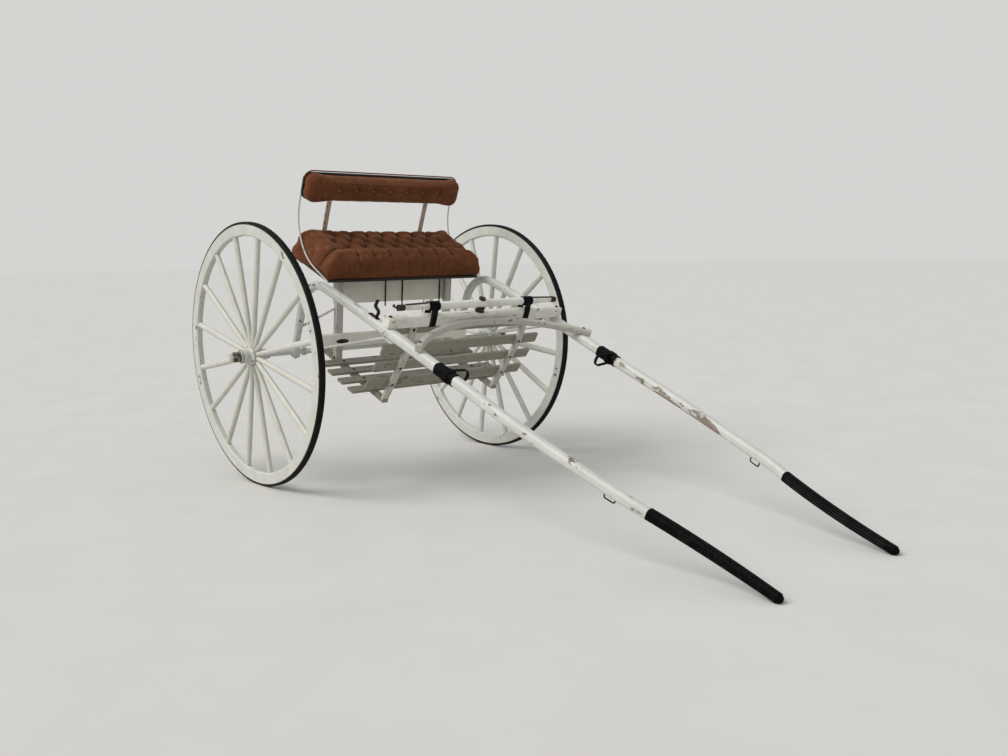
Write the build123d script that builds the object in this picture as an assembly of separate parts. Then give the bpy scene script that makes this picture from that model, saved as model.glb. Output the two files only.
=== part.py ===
from build123d import *
import os
from math import asin, atan2, cos, degrees, hypot, radians, sin, tan

# A two-wheeled horse-drawn road cart, standing as it parks: on both wheels and on the tips of its shafts.
# Sizes are in millimetres. +X points forward to the shaft tips, +Y to the cart's left, +Z up.
# The body is drawn level, as it rides behind the horse, with its zero at the middle of the axle:
# (forward, left, up). park() then turns it nose-down about the axle until the shaft tips meet the floor.

# Wheels
WHEEL_R = 600.0
TRACK = 1409.0
CAMBER = 1.3
TYRE_DEPTH = 12.0
TYRE_WIDTH = 26.0
FELLOE_DEPTH = 50.0
FELLOE_WIDTH = 30.0
FELLOE_ROUND = 7.0
SPOKE_COUNT = 16
SPOKE_ROOT = (20.0, 22.0)
SPOKE_WAIST = (27.0, 24.0)
SPOKE_END = (27.0, 24.0)
SPOKE_WAIST_AT = 0.35
SPOKE_SEAT = 8.0
SPOKE_TENON = 6.0
TREAD_CROWN = 4.0
SPOKE_PHASE = {"right": 10.0, "left": 15.7}

# Hub: a turned barrel with two riveted flanges that clamp the spoke ring
HUB_CORE_R = 27.0
HUB_IN = 70.0
HUB_OUT = 92.0
HUB_NOSE_R = 23.0
HUB_BAND_LENGTH = 26.0
FLANGE_R = 48.0
FLANGE_THICK = 6.0
FLANGE_FACE_R = 40.0
FLANGE_EDGE = 2.0
HUB_TAPER = 20.0
HUB_NECK = 6.0
HUB_SWELL = 4.0
HUB_STEP = 12.0
SPOKE_RING_WIDTH = 26.0
RUNNING_CLEARANCE = 0.05
END_PLAY = 0.5

# Axle
AXLE_R = 12.5
ARM_R = 12.0
COLLAR_R = 21.0
COLLAR_WIDTH = 9.0
NUT_FLATS = 34.0
NUT_LENGTH = 20.0
WASHER_THICK = 3.0
WASHER_LIP = 2.0
ARM_END = 3.0
ARM_ROOT = 4.0

# Shafts: heel on the axle, bend, then a long beam that draws in to the horse
SHAFT_Y = 488.0
SHAFT_TIP_Y = 349.0
SHAFT_LEVEL = 398.0
CREST_DROP = 11.5
BEND_R = 157.0
HEEL_U = -5.0
HEEL_SIZE = 28.0
TIP_RISE = 13.0
TIP_REACH = 2571.0
TIP_R = 15.0
SLEEVE_START = 2072.0
SLEEVE_WALL = 1.5
SHAFT_CORNER = 0.36

# Beam stations: distance forward of the axle, depth, width, share of the draw-in, rise over the level
SHAFT_STATIONS = (
    (HEEL_U + BEND_R, 36.0, 38.0, 0.0, -CREST_DROP),
    (300.0, 39.0, 40.0, 0.029, -5.0),
    (500.0, 41.0, 42.0, 0.072, -1.5),
    (760.0, 44.0, 42.0, 0.13, 0.0),
    (1030.0, 43.0, 42.0, 0.194, -1.0),
    (1300.0, 42.0, 41.0, 0.212, -0.5),
    (1500.0, 41.0, 40.0, 0.252, 1.0),
    (1800.0, 39.0, 38.5, 0.417, 3.5),
    (SLEEVE_START, 38.0, 37.0, 0.676, 4.5),
    (2300.0, 36.0, 35.0, 0.914, 6.0),
    (TIP_REACH, 2 * TIP_R, 2 * TIP_R, 1.0, TIP_RISE),
)

# Leather on the shafts
WRAP_START = 977.0
WRAP_END = 1091.0
WRAP_WALL = 3.0
WRAP_BAND = 28.0
WRAP_BAND_WALL = 3.0
LOOP_U = 1048.0
LOOP_STRAP = 4.0
LOOP_WIDTH = 14.0
LOOP_OUT = 95.0
LOOP_RADIUS = 24.0
LOOP_ROOT = 8.0
LOOP_TOP = (24.0, 20.0)
LOOP_FOOT = (24.0, 34.0)

# Footman loops: iron staples under the shafts, ahead of the sleeves
FOOTMAN_U = 1897.0
FOOTMAN_SPAN = 46.0
FOOTMAN_DROP = 19.0
FOOTMAN_R = 2.8
FOOTMAN_BEND_R = 8.0
FOOTMAN_ROOT = 3.0

# Crossbar, bow and singletree
BAR_U = 634.0
BAR_SIZE = 46.0
BAR_ROUND = 5.0
BAR_HALF = 493.0
SEAT_IN = 1.5
BOW_R = 704.0
BOW_DEPTH = 28.0
BOW_HEIGHT = 30.0
BOW_ROUND = 9.0
BOW_HALF = 492.0
TREE_LIFT = 22.0
TREE_R = 17.5
TREE_END_R = 11.0
TREE_STRAIGHT = 240.0
TREE_HALF = 445.0
FERRULE_LENGTH = 30.0
FERRULE_WALL = 2.5
HOOK_R = 14.0
HOOK_ROD_R = 4.0
PIVOT_R = 9.0
BOSS_R = 20.0
KNOB_R = 15.0
KNOB_LENGTH = 10.0
TREE_CLEAR = 3.0
KEEPER_Y = 267.0
KEEPER_WIDTH = 32.0
KEEPER_WRAP = 55.0
KEEPER_WALL = 3.5

# Footrest and floor
FRAME_Y = 320.0
BRACE_THICK = 16.0
BRACE_WIDTH = 30.0
BRACE_LEAN = 17.5
BRACE_FOOT_W = -3.0
BRACE_BEND_DROP = 128.0
BRACE_BEND_R = 250.0
BRACE_TOP_IN = 8.0
SLAT_THICK = 12.0
SLAT_HALF = 446.0
DASH_SLAT_WIDTH = 48.0
DASH_SLAT_FIRST = 97.0
DASH_SLAT_PITCH = 101.0
DASH_SLAT_COUNT = 4
FLOOR_SLAT_WIDTH = 45.0
FLOOR_SLAT_FIRST = 160.0
FLOOR_SLAT_PITCH = 87.0
FLOOR_SLAT_COUNT = 4
FLOOR_W = 4.0
SILL_DEPTH = 18.0
SILL_WIDTH = 28.0
SILL_OVERRUN = 12.0
SLAT_CORNER = 3.0

# Seat
POST_THICK = 26.0
POST_WIDTH = 34.0
POST_LEAN = 16.6
POST_FOOT_U = 106.0
SEAT_W = 385.0
SEAT_BOARD_THICK = 10.0
SEAT_FRONT_U = 90.0
SEAT_BACK_U = -247.0
RISER_THICK = 12.0
RISER_FOOT_W = 246.0
CROSS_BOARD_W = 97.0
CROSS_BOARD_HALF = 433.0
CROSS_BOARD_HEIGHT = 54.0
CROSS_BOARD_THICK = 16.0
CUSHION_THICK = 122.0
CUSHION_INSET = 4.0
CUSHION_ROUND = 34.0
SOFT_GAP = 0.3
RAIL_Y = 440.0
RAIL_R = 4.0
RAIL_BEND_R = 250.0
RAIL_GAP = 0.3
RAIL_RISE = 45.0
RAIL_TOP_W = 770.0
IRON_Y = 283.0
IRON_WIDTH = 24.0
IRON_THICK = 6.0
BACK_W = 728.0
BACK_HEIGHT = 130.0
BACK_HALF = 446.0
BACK_CORNER = 38.0
BACK_BOARD_THICK = 10.0
BACK_PAD_THICK = 58.0
BACK_PAD_OVER = 6.0
BACK_PAD_ROUND = 0.45
IRON_FOOT = 40.0
IRON_TOP_IN = 30.0
SEAT_ROD_R = 3.5
SEAT_ROD_YS = (-50.0, 50.0, 280.0)
SEAT_ROD_FOOT_W = 227.0
SEAT_ROD_OVERRUN = 20.0

# Irons
CLIP_U = 42.0
CLIP_Y = 34.0
CLIP_DROP = 20.0
CLIP_LIP = 8.0
STAY_Y = 440.0
STAY_R = 6.0
STAY_EYE_WIDTH = 14.0
STAY_EYE_WALL = 7.0
STAY_TOP_U = 640.0
STAY_FOOT = 62.0
STAY_FOOT_WIDTH = 20.0
STAY_FOOT_THICK = 5.0
STRUT_R = 5.5
STRUT_POST_W = 240.0
STRUT_HEEL_W = 120.0
HOOK_PLATE = (64.0, 18.0, 4.0)
HOOK_U = 528.0
HOOK_HEIGHT = 78.0
HOOK_STRAP = (14.0, 6.0)
HOOK_BEND_R = 9.0

# Line of the shaft hook: distance ahead of its plate's middle, share of its height
HOOK_LINE = (
    (14.0, 0.03),
    (26.0, 0.45),
    (-8.0, 0.60),
    (2.0, 1.00),
)

# Worked out from the sizes above
FELLOE_OUT_R = WHEEL_R - TYRE_DEPTH
FELLOE_IN_R = FELLOE_OUT_R - FELLOE_DEPTH
AXLE_Z = WHEEL_R * cos(radians(CAMBER)) + TYRE_WIDTH / 2 * sin(radians(CAMBER))
TIP_W = SHAFT_LEVEL + TIP_RISE
PARK_TILT = degrees(asin((AXLE_Z - TIP_R) / hypot(TIP_REACH, TIP_W)) + atan2(TIP_W, TIP_REACH))
FRONT_REACH = TIP_REACH * cos(radians(PARK_TILT)) + TIP_W * sin(radians(PARK_TILT)) + TIP_R
AXLE_X = (WHEEL_R - FRONT_REACH) / 2
PARK = Pos(AXLE_X, 0, AXLE_Z) * Rot(0, PARK_TILT, 0)
POST_SLOPE = tan(radians(POST_LEAN))
SIDES = {"left": 1, "right": -1}
parts = {}


def park(shape):
    """Set a piece of the level body where it parks."""
    return PARK * shape


def at_station(u, column):
    """A column of SHAFT_STATIONS at u, on an even curve through its rows."""
    rows = SHAFT_STATIONS
    u = min(max(u, rows[0][0]), rows[-1][0])
    last = next(i for i in range(1, len(rows)) if u <= rows[i][0])
    before, near, far, after = (rows[min(max(last + i, 0), len(rows) - 1)] for i in (-2, -1, 0, 1))
    run = far[0] - near[0]
    share = (u - near[0]) / run
    start = (far[column] - before[column]) / (far[0] - before[0]) * run
    end = (after[column] - near[column]) / (after[0] - near[0]) * run
    rise = far[column] - near[column]
    bend = share * (1 - share)
    return near[column] + rise * share + bend * ((start - rise) * (1 - share) + (rise - end) * share)


def shaft_y(u):
    """Distance of the shaft's middle line from the cart's middle."""
    return SHAFT_Y - (SHAFT_Y - SHAFT_TIP_Y) * at_station(u, 3)


def shaft_w(u):
    """Height of the shaft's middle line: it climbs from the bend, runs level, and rises to the tip."""
    return SHAFT_LEVEL + at_station(u, 4)


def shaft_size(u):
    """Depth and width of the shaft at a distance forward of the axle."""
    return at_station(u, 1), at_station(u, 2)


def shaft_face(u, side, grow=0.0):
    """The shaft's rounded section at u, square to its middle line, grown by a wall all round."""
    step = 1.0
    here = Vector(u, side * shaft_y(u), shaft_w(u))
    ahead = Vector(u + step, side * shaft_y(u + step), shaft_w(u + step))
    depth, width = shaft_size(u)
    depth += 2 * grow
    width += 2 * grow
    plane = Plane(origin=here, x_dir=(0, 1, 0), z_dir=(ahead - here).normalized())
    return plane * RectangleRounded(width, depth, SHAFT_CORNER * min(width, depth))


def shaft_run(us, side, grow=0.0):
    """A smooth length of shaft through its sections at us."""
    return loft([shaft_face(u, side, grow) for u in us])


def shaft_solid(side):
    """Heel, bend and beam of one shaft, up to the leather sleeve on its tip."""
    crest_u = HEEL_U + BEND_R
    crest_w = shaft_w(crest_u)
    depth, width = shaft_size(crest_u)
    corner = SHAFT_CORNER * depth
    heel_end = Plane((HEEL_U, side * SHAFT_Y, AXLE_R + 1), x_dir=(0, 1, 0), z_dir=(0, 0, 1))
    heel_top = Plane((HEEL_U, side * SHAFT_Y, crest_w - BEND_R), x_dir=(0, 1, 0), z_dir=(0, 0, 1))
    top_face = heel_top * RectangleRounded(width, depth, corner)
    end_face = heel_end * RectangleRounded(HEEL_SIZE, HEEL_SIZE, SHAFT_CORNER * HEEL_SIZE)
    heel = loft([end_face, top_face], ruled=True)
    bend = revolve(top_face, Axis((crest_u, 0, crest_w - BEND_R), (0, 1, 0)), 90)
    crest = Plane((crest_u, side * SHAFT_Y, crest_w), x_dir=(0, 1, 0), z_dir=(1, 0, 0))
    crest_face = crest * RectangleRounded(width, depth, corner)
    beam_us = [row[0] for row in SHAFT_STATIONS if crest_u < row[0] <= SLEEVE_START]
    beam = loft([crest_face] + [shaft_face(u, side) for u in beam_us])
    return heel + bend + beam


def shaft_sleeve(side):
    """Black leather sleeve and the wood in it, from SLEEVE_START to the round end."""
    run = shaft_run([row[0] for row in SHAFT_STATIONS if row[0] >= SLEEVE_START], side, SLEEVE_WALL)
    end = Pos(TIP_REACH, side * shaft_y(TIP_REACH), TIP_W) * Sphere(TIP_R)
    return run + end


def box_between(low, high):
    """A box from its lowest corner to its highest."""
    size = [b - a for a, b in zip(low, high)]
    middle = [(a + b) / 2 for a, b in zip(low, high)]
    return Pos(*middle) * Box(*size)


def rounded_bar(width, depth, length, corner, middle, lean=0.0):
    """A bar along Y with rounded long edges: width forward, depth upward, leaning back by lean."""
    plane = Plane(origin=middle, x_dir=(cos(radians(lean)), 0, sin(radians(lean))), z_dir=(0, -1, 0))
    face = plane * RectangleRounded(width, depth, corner)
    return extrude(face, length / 2, both=True)


def rod(points, radius, bend=None):
    """A round rod along a path of straight runs, joined by arcs of one radius."""
    path = FilletPolyline(*points, radius=bend) if bend else Polyline(*points)
    section = Plane(origin=path @ 0, z_dir=path % 0) * Circle(radius)
    return sweep(section, path, transition=Transition.ROUND)


def biggest(shape):
    """The largest solid of a shape, without the scraps that a cut leaves."""
    return max(shape.solids(), key=lambda s: s.volume)


def place_wheel(shape, side, phase=0.0):
    """Stand a wheel piece, drawn round +Z with its face outward, on its leaning axle arm."""
    sign = SIDES[side]
    hub = Pos(AXLE_X, sign * TRACK / 2, AXLE_Z) * Rot(-sign * CAMBER, 0, 0)
    return hub * Rot(-sign * 90, 0, 0) * Rot(0, 0, -sign * phase) * shape


def ring(outer, inner, width):
    """A flat ring round Z, its width centred on the wheel's plane."""
    return Cylinder(outer, width) - Cylinder(inner, 2 * width)


# Tyre and felloe
def felloe_solid():
    """Wooden rim: square under the tyre, with rounded inner edges."""
    rim = ring(FELLOE_OUT_R, FELLOE_IN_R, FELLOE_WIDTH)
    inner_edges = [e for e in rim.edges().filter_by(GeomType.CIRCLE) if e.radius < FELLOE_IN_R + 1]
    return fillet(inner_edges, FELLOE_ROUND)


def tyre_solid():
    """Solid tyre with a crowned tread."""
    tyre = ring(WHEEL_R, FELLOE_OUT_R, TYRE_WIDTH)
    tread_edges = [e for e in tyre.edges().filter_by(GeomType.CIRCLE) if e.radius > WHEEL_R - 1]
    return fillet(tread_edges, TREAD_CROWN)


# Spokes, joined at their mitred roots into one ring between the hub's flanges
def spokes_solid():
    """All spokes of a wheel on the ring that the flanges clamp."""
    stations = (
        (HUB_CORE_R + SPOKE_SEAT, SPOKE_ROOT),
        (SPOKE_WAIST_AT * FELLOE_IN_R, SPOKE_WAIST),
        (FELLOE_IN_R + SPOKE_TENON, SPOKE_END),
    )
    faces = []
    for radius, (across, along) in stations:
        plane = Plane(origin=(radius, 0, 0), x_dir=(0, 1, 0), z_dir=(1, 0, 0))
        faces.append(plane * Ellipse(across / 2, along / 2))
    spoke = loft(faces)
    spokes = [Rot(0, 0, 360 / SPOKE_COUNT * i) * spoke for i in range(SPOKE_COUNT)]
    root = ring(FLANGE_R - FLANGE_EDGE, HUB_CORE_R, SPOKE_RING_WIDTH)
    joined = root + spokes
    reach = ring(FELLOE_IN_R, HUB_CORE_R, 2 * SPOKE_RING_WIDTH)
    return joined & reach


def hub_solid():
    """Barrel, flanges and banded nose, bored for the axle arm."""
    flange_in = SPOKE_RING_WIDTH / 2
    flange_out = flange_in + FLANGE_THICK
    band = HUB_OUT - HUB_BAND_LENGTH
    bore = ARM_R + RUNNING_CLEARANCE
    outline = [
        (bore, -HUB_IN),
        (HUB_NOSE_R, -HUB_IN),
        (HUB_CORE_R, -HUB_IN + HUB_TAPER),
        (HUB_CORE_R, -flange_out - HUB_NECK),
        (FLANGE_FACE_R, -flange_out),
        (FLANGE_R, -flange_out + FLANGE_EDGE),
        (FLANGE_R, -flange_in),
        (HUB_CORE_R, -flange_in),
        (HUB_CORE_R, flange_in),
        (FLANGE_R, flange_in),
        (FLANGE_R, flange_out - FLANGE_EDGE),
        (FLANGE_FACE_R, flange_out),
        (HUB_CORE_R + HUB_SWELL, flange_out + HUB_NECK),
        (HUB_CORE_R + HUB_SWELL, band - HUB_STEP),
        (HUB_CORE_R, band),
        (HUB_NOSE_R, band),
        (HUB_NOSE_R, HUB_OUT),
        (bore, HUB_OUT),
    ]
    face = make_face(Plane.XZ * Polyline(*outline, close=True))
    return revolve(face, Axis.Z)


for side in SIDES:
    phase = SPOKE_PHASE[side]
    parts[f"tyre_{side}"] = place_wheel(tyre_solid(), side)
    parts[f"felloe_{side}"] = place_wheel(felloe_solid(), side)
    parts[f"spokes_{side}"] = place_wheel(spokes_solid(), side, phase)
    parts[f"hub_{side}"] = place_wheel(hub_solid(), side)


# Axle: a straight bar whose ends bend down into the leaning arms
def axle_solid():
    """Bar, collars and arms."""
    half = TRACK / 2 - HUB_IN - COLLAR_WIDTH
    bar = Rot(90, 0, 0) * Cylinder(AXLE_R, 2 * half)
    bar = Pos(AXLE_X, 0, AXLE_Z) * bar
    arm_end = HUB_OUT + END_PLAY + NUT_LENGTH + ARM_END
    arm_start = -HUB_IN - COLLAR_WIDTH - ARM_ROOT
    arm = Pos(0, 0, (arm_start + arm_end) / 2) * Cylinder(ARM_R, arm_end - arm_start)
    collar_z = -HUB_IN - END_PLAY - COLLAR_WIDTH / 2
    collar = Pos(0, 0, collar_z) * Cylinder(COLLAR_R, COLLAR_WIDTH)
    for name in SIDES:
        bar = bar + place_wheel(arm + collar, name)
    return bar


def nut_solid():
    """Six-sided axle nut with its washer, outside the hub's nose."""
    low = HUB_OUT + END_PLAY
    washer = Pos(0, 0, low + WASHER_THICK / 2) * Cylinder(NUT_FLATS / 2 + WASHER_LIP, WASHER_THICK)
    outline = RegularPolygon(NUT_FLATS / 2, 6, major_radius=False)
    nut = Pos(0, 0, low) * extrude(outline, NUT_LENGTH)
    return washer + nut - Cylinder(ARM_R, 4 * HUB_OUT)


parts["axle"] = axle_solid()
parts["axle_nuts"] = Compound([place_wheel(nut_solid(), side).solid() for side in SIDES])

# Shafts with their leather
def wrap_solid(sign):
    """Leather cover with a thicker band round its middle, before the shaft is cut from it."""
    cover = shaft_run([WRAP_START, LOOP_U, WRAP_END], sign, WRAP_WALL)
    ends = [LOOP_U - WRAP_BAND / 2, LOOP_U + WRAP_BAND / 2]
    return cover + shaft_run(ends, sign, WRAP_WALL + WRAP_BAND_WALL)


def loop_solid(sign):
    """Leather strap that leaves the band at its top, hangs out on the inner side and comes back under it."""
    y = shaft_y(LOOP_U)
    w = shaft_w(LOOP_U)
    path = FilletPolyline(
        (LOOP_U, sign * (y - LOOP_ROOT), w + LOOP_TOP[0]),
        (LOOP_U, sign * (y - LOOP_OUT), w + LOOP_TOP[1]),
        (LOOP_U, sign * (y - LOOP_OUT), w - LOOP_FOOT[1]),
        (LOOP_U, sign * (y - LOOP_ROOT), w - LOOP_FOOT[0]),
        radius=LOOP_RADIUS,
    )
    section = Plane(origin=path @ 0, x_dir=(1, 0, 0), z_dir=path % 0) * Rectangle(LOOP_WIDTH, LOOP_STRAP)
    return sweep(section, path)


def footman_solid(sign):
    """Iron staple under the shaft, its legs let into the wood."""
    ends = []
    for u in (FOOTMAN_U, FOOTMAN_U + FOOTMAN_SPAN):
        under = shaft_w(u) - shaft_size(u)[0] / 2
        y = sign * shaft_y(u)
        ends.append([(u, y, under + FOOTMAN_ROOT), (u, y, under - FOOTMAN_DROP)])
    points = [ends[0][0], ends[0][1], ends[1][1], ends[1][0]]
    return rod(points, FOOTMAN_R, FOOTMAN_BEND_R)


shafts = {side: shaft_solid(sign) for side, sign in SIDES.items()}
wraps = []
loops = []
staples = []
for side, sign in SIDES.items():
    parts[f"shaft_{side}"] = park(shafts[side])
    parts[f"shaft_sleeve_{side}"] = park(shaft_sleeve(sign))
    wrap = wrap_solid(sign) - shafts[side]
    wraps.append(park(wrap).solid())
    loop = loop_solid(sign) - shafts[side] - wrap
    loops.append(park(biggest(loop)))
    staples.append(park(biggest(footman_solid(sign) - shafts[side])))
parts["shaft_wraps"] = Compound(wraps)
parts["tug_loops"] = Compound(loops)
parts["footman_loops"] = Compound(staples)

# Crossbar on the shafts, bow in front of it
both_shafts = shafts["left"] + shafts["right"]
bar_bottom = shaft_w(BAR_U) + shaft_size(BAR_U)[0] / 2 - SEAT_IN
bar_middle = bar_bottom + BAR_SIZE / 2
bar_front = BAR_U + BAR_SIZE / 2
bar_back = BAR_U - BAR_SIZE / 2
whole_bar = rounded_bar(BAR_SIZE, BAR_SIZE, 2 * BAR_HALF, BAR_ROUND, (BAR_U, 0, bar_middle))
crossbar = whole_bar - both_shafts
parts["crossbar"] = park(crossbar)


def bow_solid():
    """Bent bow: one even arc from shaft to shaft, bolted to the crossbar's face at its middle."""
    front = bar_front + BOW_DEPTH / 2
    centre = (front + BOW_R, 0, bar_bottom + BOW_HEIGHT / 2)
    half_angle = degrees(asin(BOW_HALF / BOW_R))
    section_plane = Plane(origin=(front, 0, centre[2]), x_dir=(1, 0, 0), z_dir=(0, 1, 0))
    section = section_plane * RectangleRounded(BOW_DEPTH, BOW_HEIGHT, BOW_ROUND)
    axis = Axis(centre, (0, 0, 1))
    return revolve(section, axis, half_angle) + revolve(section, axis, -half_angle)


parts["bow"] = park(bow_solid() - both_shafts - whole_bar)

# Singletree over the crossbar, with its irons and keeper straps
tree_w = bar_bottom + BAR_SIZE + TREE_LIFT + TREE_R


def tree_solid():
    """Turned bar: straight in the middle, tapered to both ends."""
    outline = [
        (0, -TREE_HALF),
        (TREE_END_R, -TREE_HALF),
        (TREE_R, -TREE_STRAIGHT),
        (TREE_R, TREE_STRAIGHT),
        (TREE_END_R, TREE_HALF),
        (0, TREE_HALF),
    ]
    turned = revolve(make_face(Plane.XZ * Polyline(*outline, close=True)), Axis.Z)
    return Pos(BAR_U, 0, tree_w) * Rot(90, 0, 0) * turned


def tree_irons():
    """Pivot bolt and boss at the middle, a ferrule with its trace hook on each end."""
    bar_top = bar_bottom + BAR_SIZE
    boss = Pos(BAR_U, 0, bar_top + TREE_LIFT / 2) * Cylinder(BOSS_R, TREE_LIFT)
    knob_w = tree_w + TREE_R + KNOB_LENGTH / 2
    knob = Pos(BAR_U, 0, knob_w) * Cylinder(KNOB_R, KNOB_LENGTH)
    bolt = Pos(BAR_U, 0, (bar_top + knob_w) / 2) * Cylinder(PIVOT_R, knob_w - bar_top)
    irons = [boss + knob + bolt]
    for sign in SIDES.values():
        ferrule = Rot(90, 0, 0) * Cylinder(TREE_END_R + FERRULE_WALL, FERRULE_LENGTH)
        ferrule = Pos(BAR_U, sign * (TREE_HALF - FERRULE_LENGTH / 2 + TREE_CLEAR), tree_w) * ferrule
        start = Vector(BAR_U, sign * TREE_HALF, tree_w)
        middle = start + Vector(-HOOK_R, sign * HOOK_R, 0)
        hook_path = ThreePointArc(start, middle, start + Vector(-2 * HOOK_R, 0, 0))
        hook = sweep(Plane(origin=start, z_dir=hook_path % 0) * Circle(HOOK_ROD_R), hook_path)
        irons.append(ferrule + hook)
    return irons


whole_tree = tree_solid()
pivot, *tree_ends = tree_irons()
parts["singletree"] = park(whole_tree - pivot)
cut_irons = [pivot] + [iron - whole_tree for iron in tree_ends]
parts["singletree_irons"] = Compound([park(iron).solid() for iron in cut_irons])


def keeper_solid(sign):
    """Leather strap round the singletree and the crossbar, with a wide wrap on the singletree."""
    plane = Plane(origin=(BAR_U, sign * KEEPER_Y, 0), x_dir=(1, 0, 0), z_dir=(0, -1, 0))

    def belt(grow):
        """Outline of the belt round both bars, grown by its wall."""
        circle = Pos(0, tree_w) * Circle(TREE_R + grow)
        size = BAR_SIZE + 2 * grow
        square = Pos(0, bar_middle) * RectangleRounded(size, size, BAR_ROUND + grow)
        return make_hull(circle.edges() + square.edges())

    face = plane * (belt(KEEPER_WALL) - belt(0))
    wrap = plane * Pos(0, tree_w) * (Circle(TREE_R + KEEPER_WALL) - Circle(TREE_R))
    return extrude(face, KEEPER_WIDTH / 2, both=True) + extrude(wrap, KEEPER_WRAP / 2, both=True)


strapped = whole_tree + crossbar
keepers = [park(keeper_solid(sign) - strapped).solid() for sign in SIDES.values()]
parts["keeper_straps"] = Compound(keepers)

# Footrest: two bent braces behind the crossbar, slats on their inner faces
brace_u = bar_back - BRACE_THICK / 2
brace_top_w = bar_bottom + BAR_SIZE - BRACE_TOP_IN
brace_bend_w = bar_bottom - BRACE_BEND_DROP
brace_foot_u = brace_u - (brace_bend_w - BRACE_FOOT_W) * tan(radians(BRACE_LEAN))
brace_path = FilletPolyline(
    (brace_foot_u, 0, BRACE_FOOT_W),
    (brace_u, 0, brace_bend_w),
    (brace_u, 0, brace_top_w),
    radius=BRACE_BEND_R,
)
brace_section = Plane(origin=brace_path @ 0, x_dir=(0, 1, 0), z_dir=brace_path % 0)
brace = sweep(brace_section * Rectangle(BRACE_WIDTH, BRACE_THICK), brace_path)
braces = [Pos(0, sign * FRAME_Y, 0) * brace for sign in SIDES.values()]
parts["dash_braces"] = Compound([park(piece).solid() for piece in braces])
both_braces = braces[0] + braces[1]

for number in range(DASH_SLAT_COUNT):
    along = (DASH_SLAT_FIRST + number * DASH_SLAT_PITCH) / brace_path.length
    tangent = brace_path % along
    inward = Vector(-tangent.Z, 0, tangent.X)
    middle = (brace_path @ along) + inward * (BRACE_THICK + SLAT_THICK) / 2
    plane = Plane(origin=middle, x_dir=(0, 1, 0), z_dir=inward)
    outline = RectangleRounded(2 * SLAT_HALF, DASH_SLAT_WIDTH, SLAT_CORNER)
    slat = extrude(plane * outline, SLAT_THICK / 2, both=True)
    parts[f"dash_slat_{number + 1}"] = park(slat - both_braces)

# Floor: sills from the axle to the braces, slats across them
sills = []
for sign in SIDES.values():
    low = (AXLE_R, sign * FRAME_Y - SILL_WIDTH / 2, FLOOR_W - SILL_DEPTH)
    high = (brace_foot_u + SILL_OVERRUN, sign * FRAME_Y + SILL_WIDTH / 2, FLOOR_W)
    sills.append(park(biggest(box_between(low, high) - both_braces)))
parts["floor_sills"] = Compound(sills)
for number in range(FLOOR_SLAT_COUNT):
    middle_u = FLOOR_SLAT_FIRST + number * FLOOR_SLAT_PITCH
    slat = Pos(middle_u, 0, FLOOR_W + SLAT_THICK / 2) * Box(FLOOR_SLAT_WIDTH, 2 * SLAT_HALF, SLAT_THICK)
    parts[f"floor_slat_{number + 1}"] = park(slat)


# Seat posts lean back from the sills to the seat board
def post_u(w, offset=0.0):
    """Distance forward of the leaning posts' middle plane, or of a plane offset from it, at height w."""
    return POST_FOOT_U - (w - FLOOR_W) * POST_SLOPE + offset / cos(radians(POST_LEAN))


def leaning(offset, width, thick, low_w, high_w):
    """A board that leans with the posts: offset forward of their middle plane, cut level at both ends."""
    middle_w = (low_w + high_w) / 2
    middle_u = post_u(middle_w, offset)
    board = Box(thick, width, 2 * (high_w - low_w))
    board = Pos(middle_u, 0, middle_w) * Rot(0, -POST_LEAN, 0) * board
    return board & box_between((-SLAT_HALF, -width, low_w), (SLAT_HALF, width, high_w))


post = leaning(0, POST_WIDTH, POST_THICK, FLOOR_W, SEAT_W)
posts = [Pos(0, sign * FRAME_Y, 0) * post for sign in SIDES.values()]
parts["seat_posts"] = Compound([park(piece).solid() for piece in posts])
riser_offset = -(POST_THICK + RISER_THICK) / 2
riser_width = 2 * FRAME_Y + POST_WIDTH
parts["seat_riser"] = park(leaning(riser_offset, riser_width, RISER_THICK, RISER_FOOT_W, SEAT_W))
board_offset = (POST_THICK + CROSS_BOARD_THICK) / 2
board_low = CROSS_BOARD_W - CROSS_BOARD_HEIGHT / 2
board_high = CROSS_BOARD_W + CROSS_BOARD_HEIGHT / 2
cross_board = leaning(board_offset, 2 * CROSS_BOARD_HALF, CROSS_BOARD_THICK, board_low, board_high)
parts["cross_board"] = park(cross_board)

# Seat board, rods in front of the riser, cushion
seat_half = RAIL_Y - RAIL_R
seat_top = SEAT_W + SEAT_BOARD_THICK
seat_board = box_between((SEAT_BACK_U, -seat_half, SEAT_W), (SEAT_FRONT_U, seat_half, seat_top))
parts["seat_board"] = park(seat_board)
rod_offset = riser_offset + RISER_THICK / 2 + SEAT_ROD_R
rod_top_w = SEAT_W + SEAT_ROD_OVERRUN
under_seat = box_between((SEAT_BACK_U, -seat_half, 0), (-SEAT_BACK_U, seat_half, SEAT_W))
seat_rods = []
for y in SEAT_ROD_YS:
    ends = [(post_u(w, rod_offset), y, w) for w in (rod_top_w, SEAT_ROD_FOOT_W)]
    seat_rods.append(park(rod(ends, SEAT_ROD_R) & under_seat).solid())
parts["seat_rods"] = Compound(seat_rods)
cushion_low = (SEAT_BACK_U + CUSHION_INSET, -seat_half + CUSHION_INSET, seat_top + SOFT_GAP)
cushion_high = (SEAT_FRONT_U + CUSHION_INSET, seat_half - CUSHION_INSET, seat_top + CUSHION_THICK)
cushion = box_between(cushion_low, cushion_high)
cushion = fillet(cushion.edges().group_by(Axis.Z)[-1], CUSHION_ROUND)
parts["seat_cushion"] = park(cushion)

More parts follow.
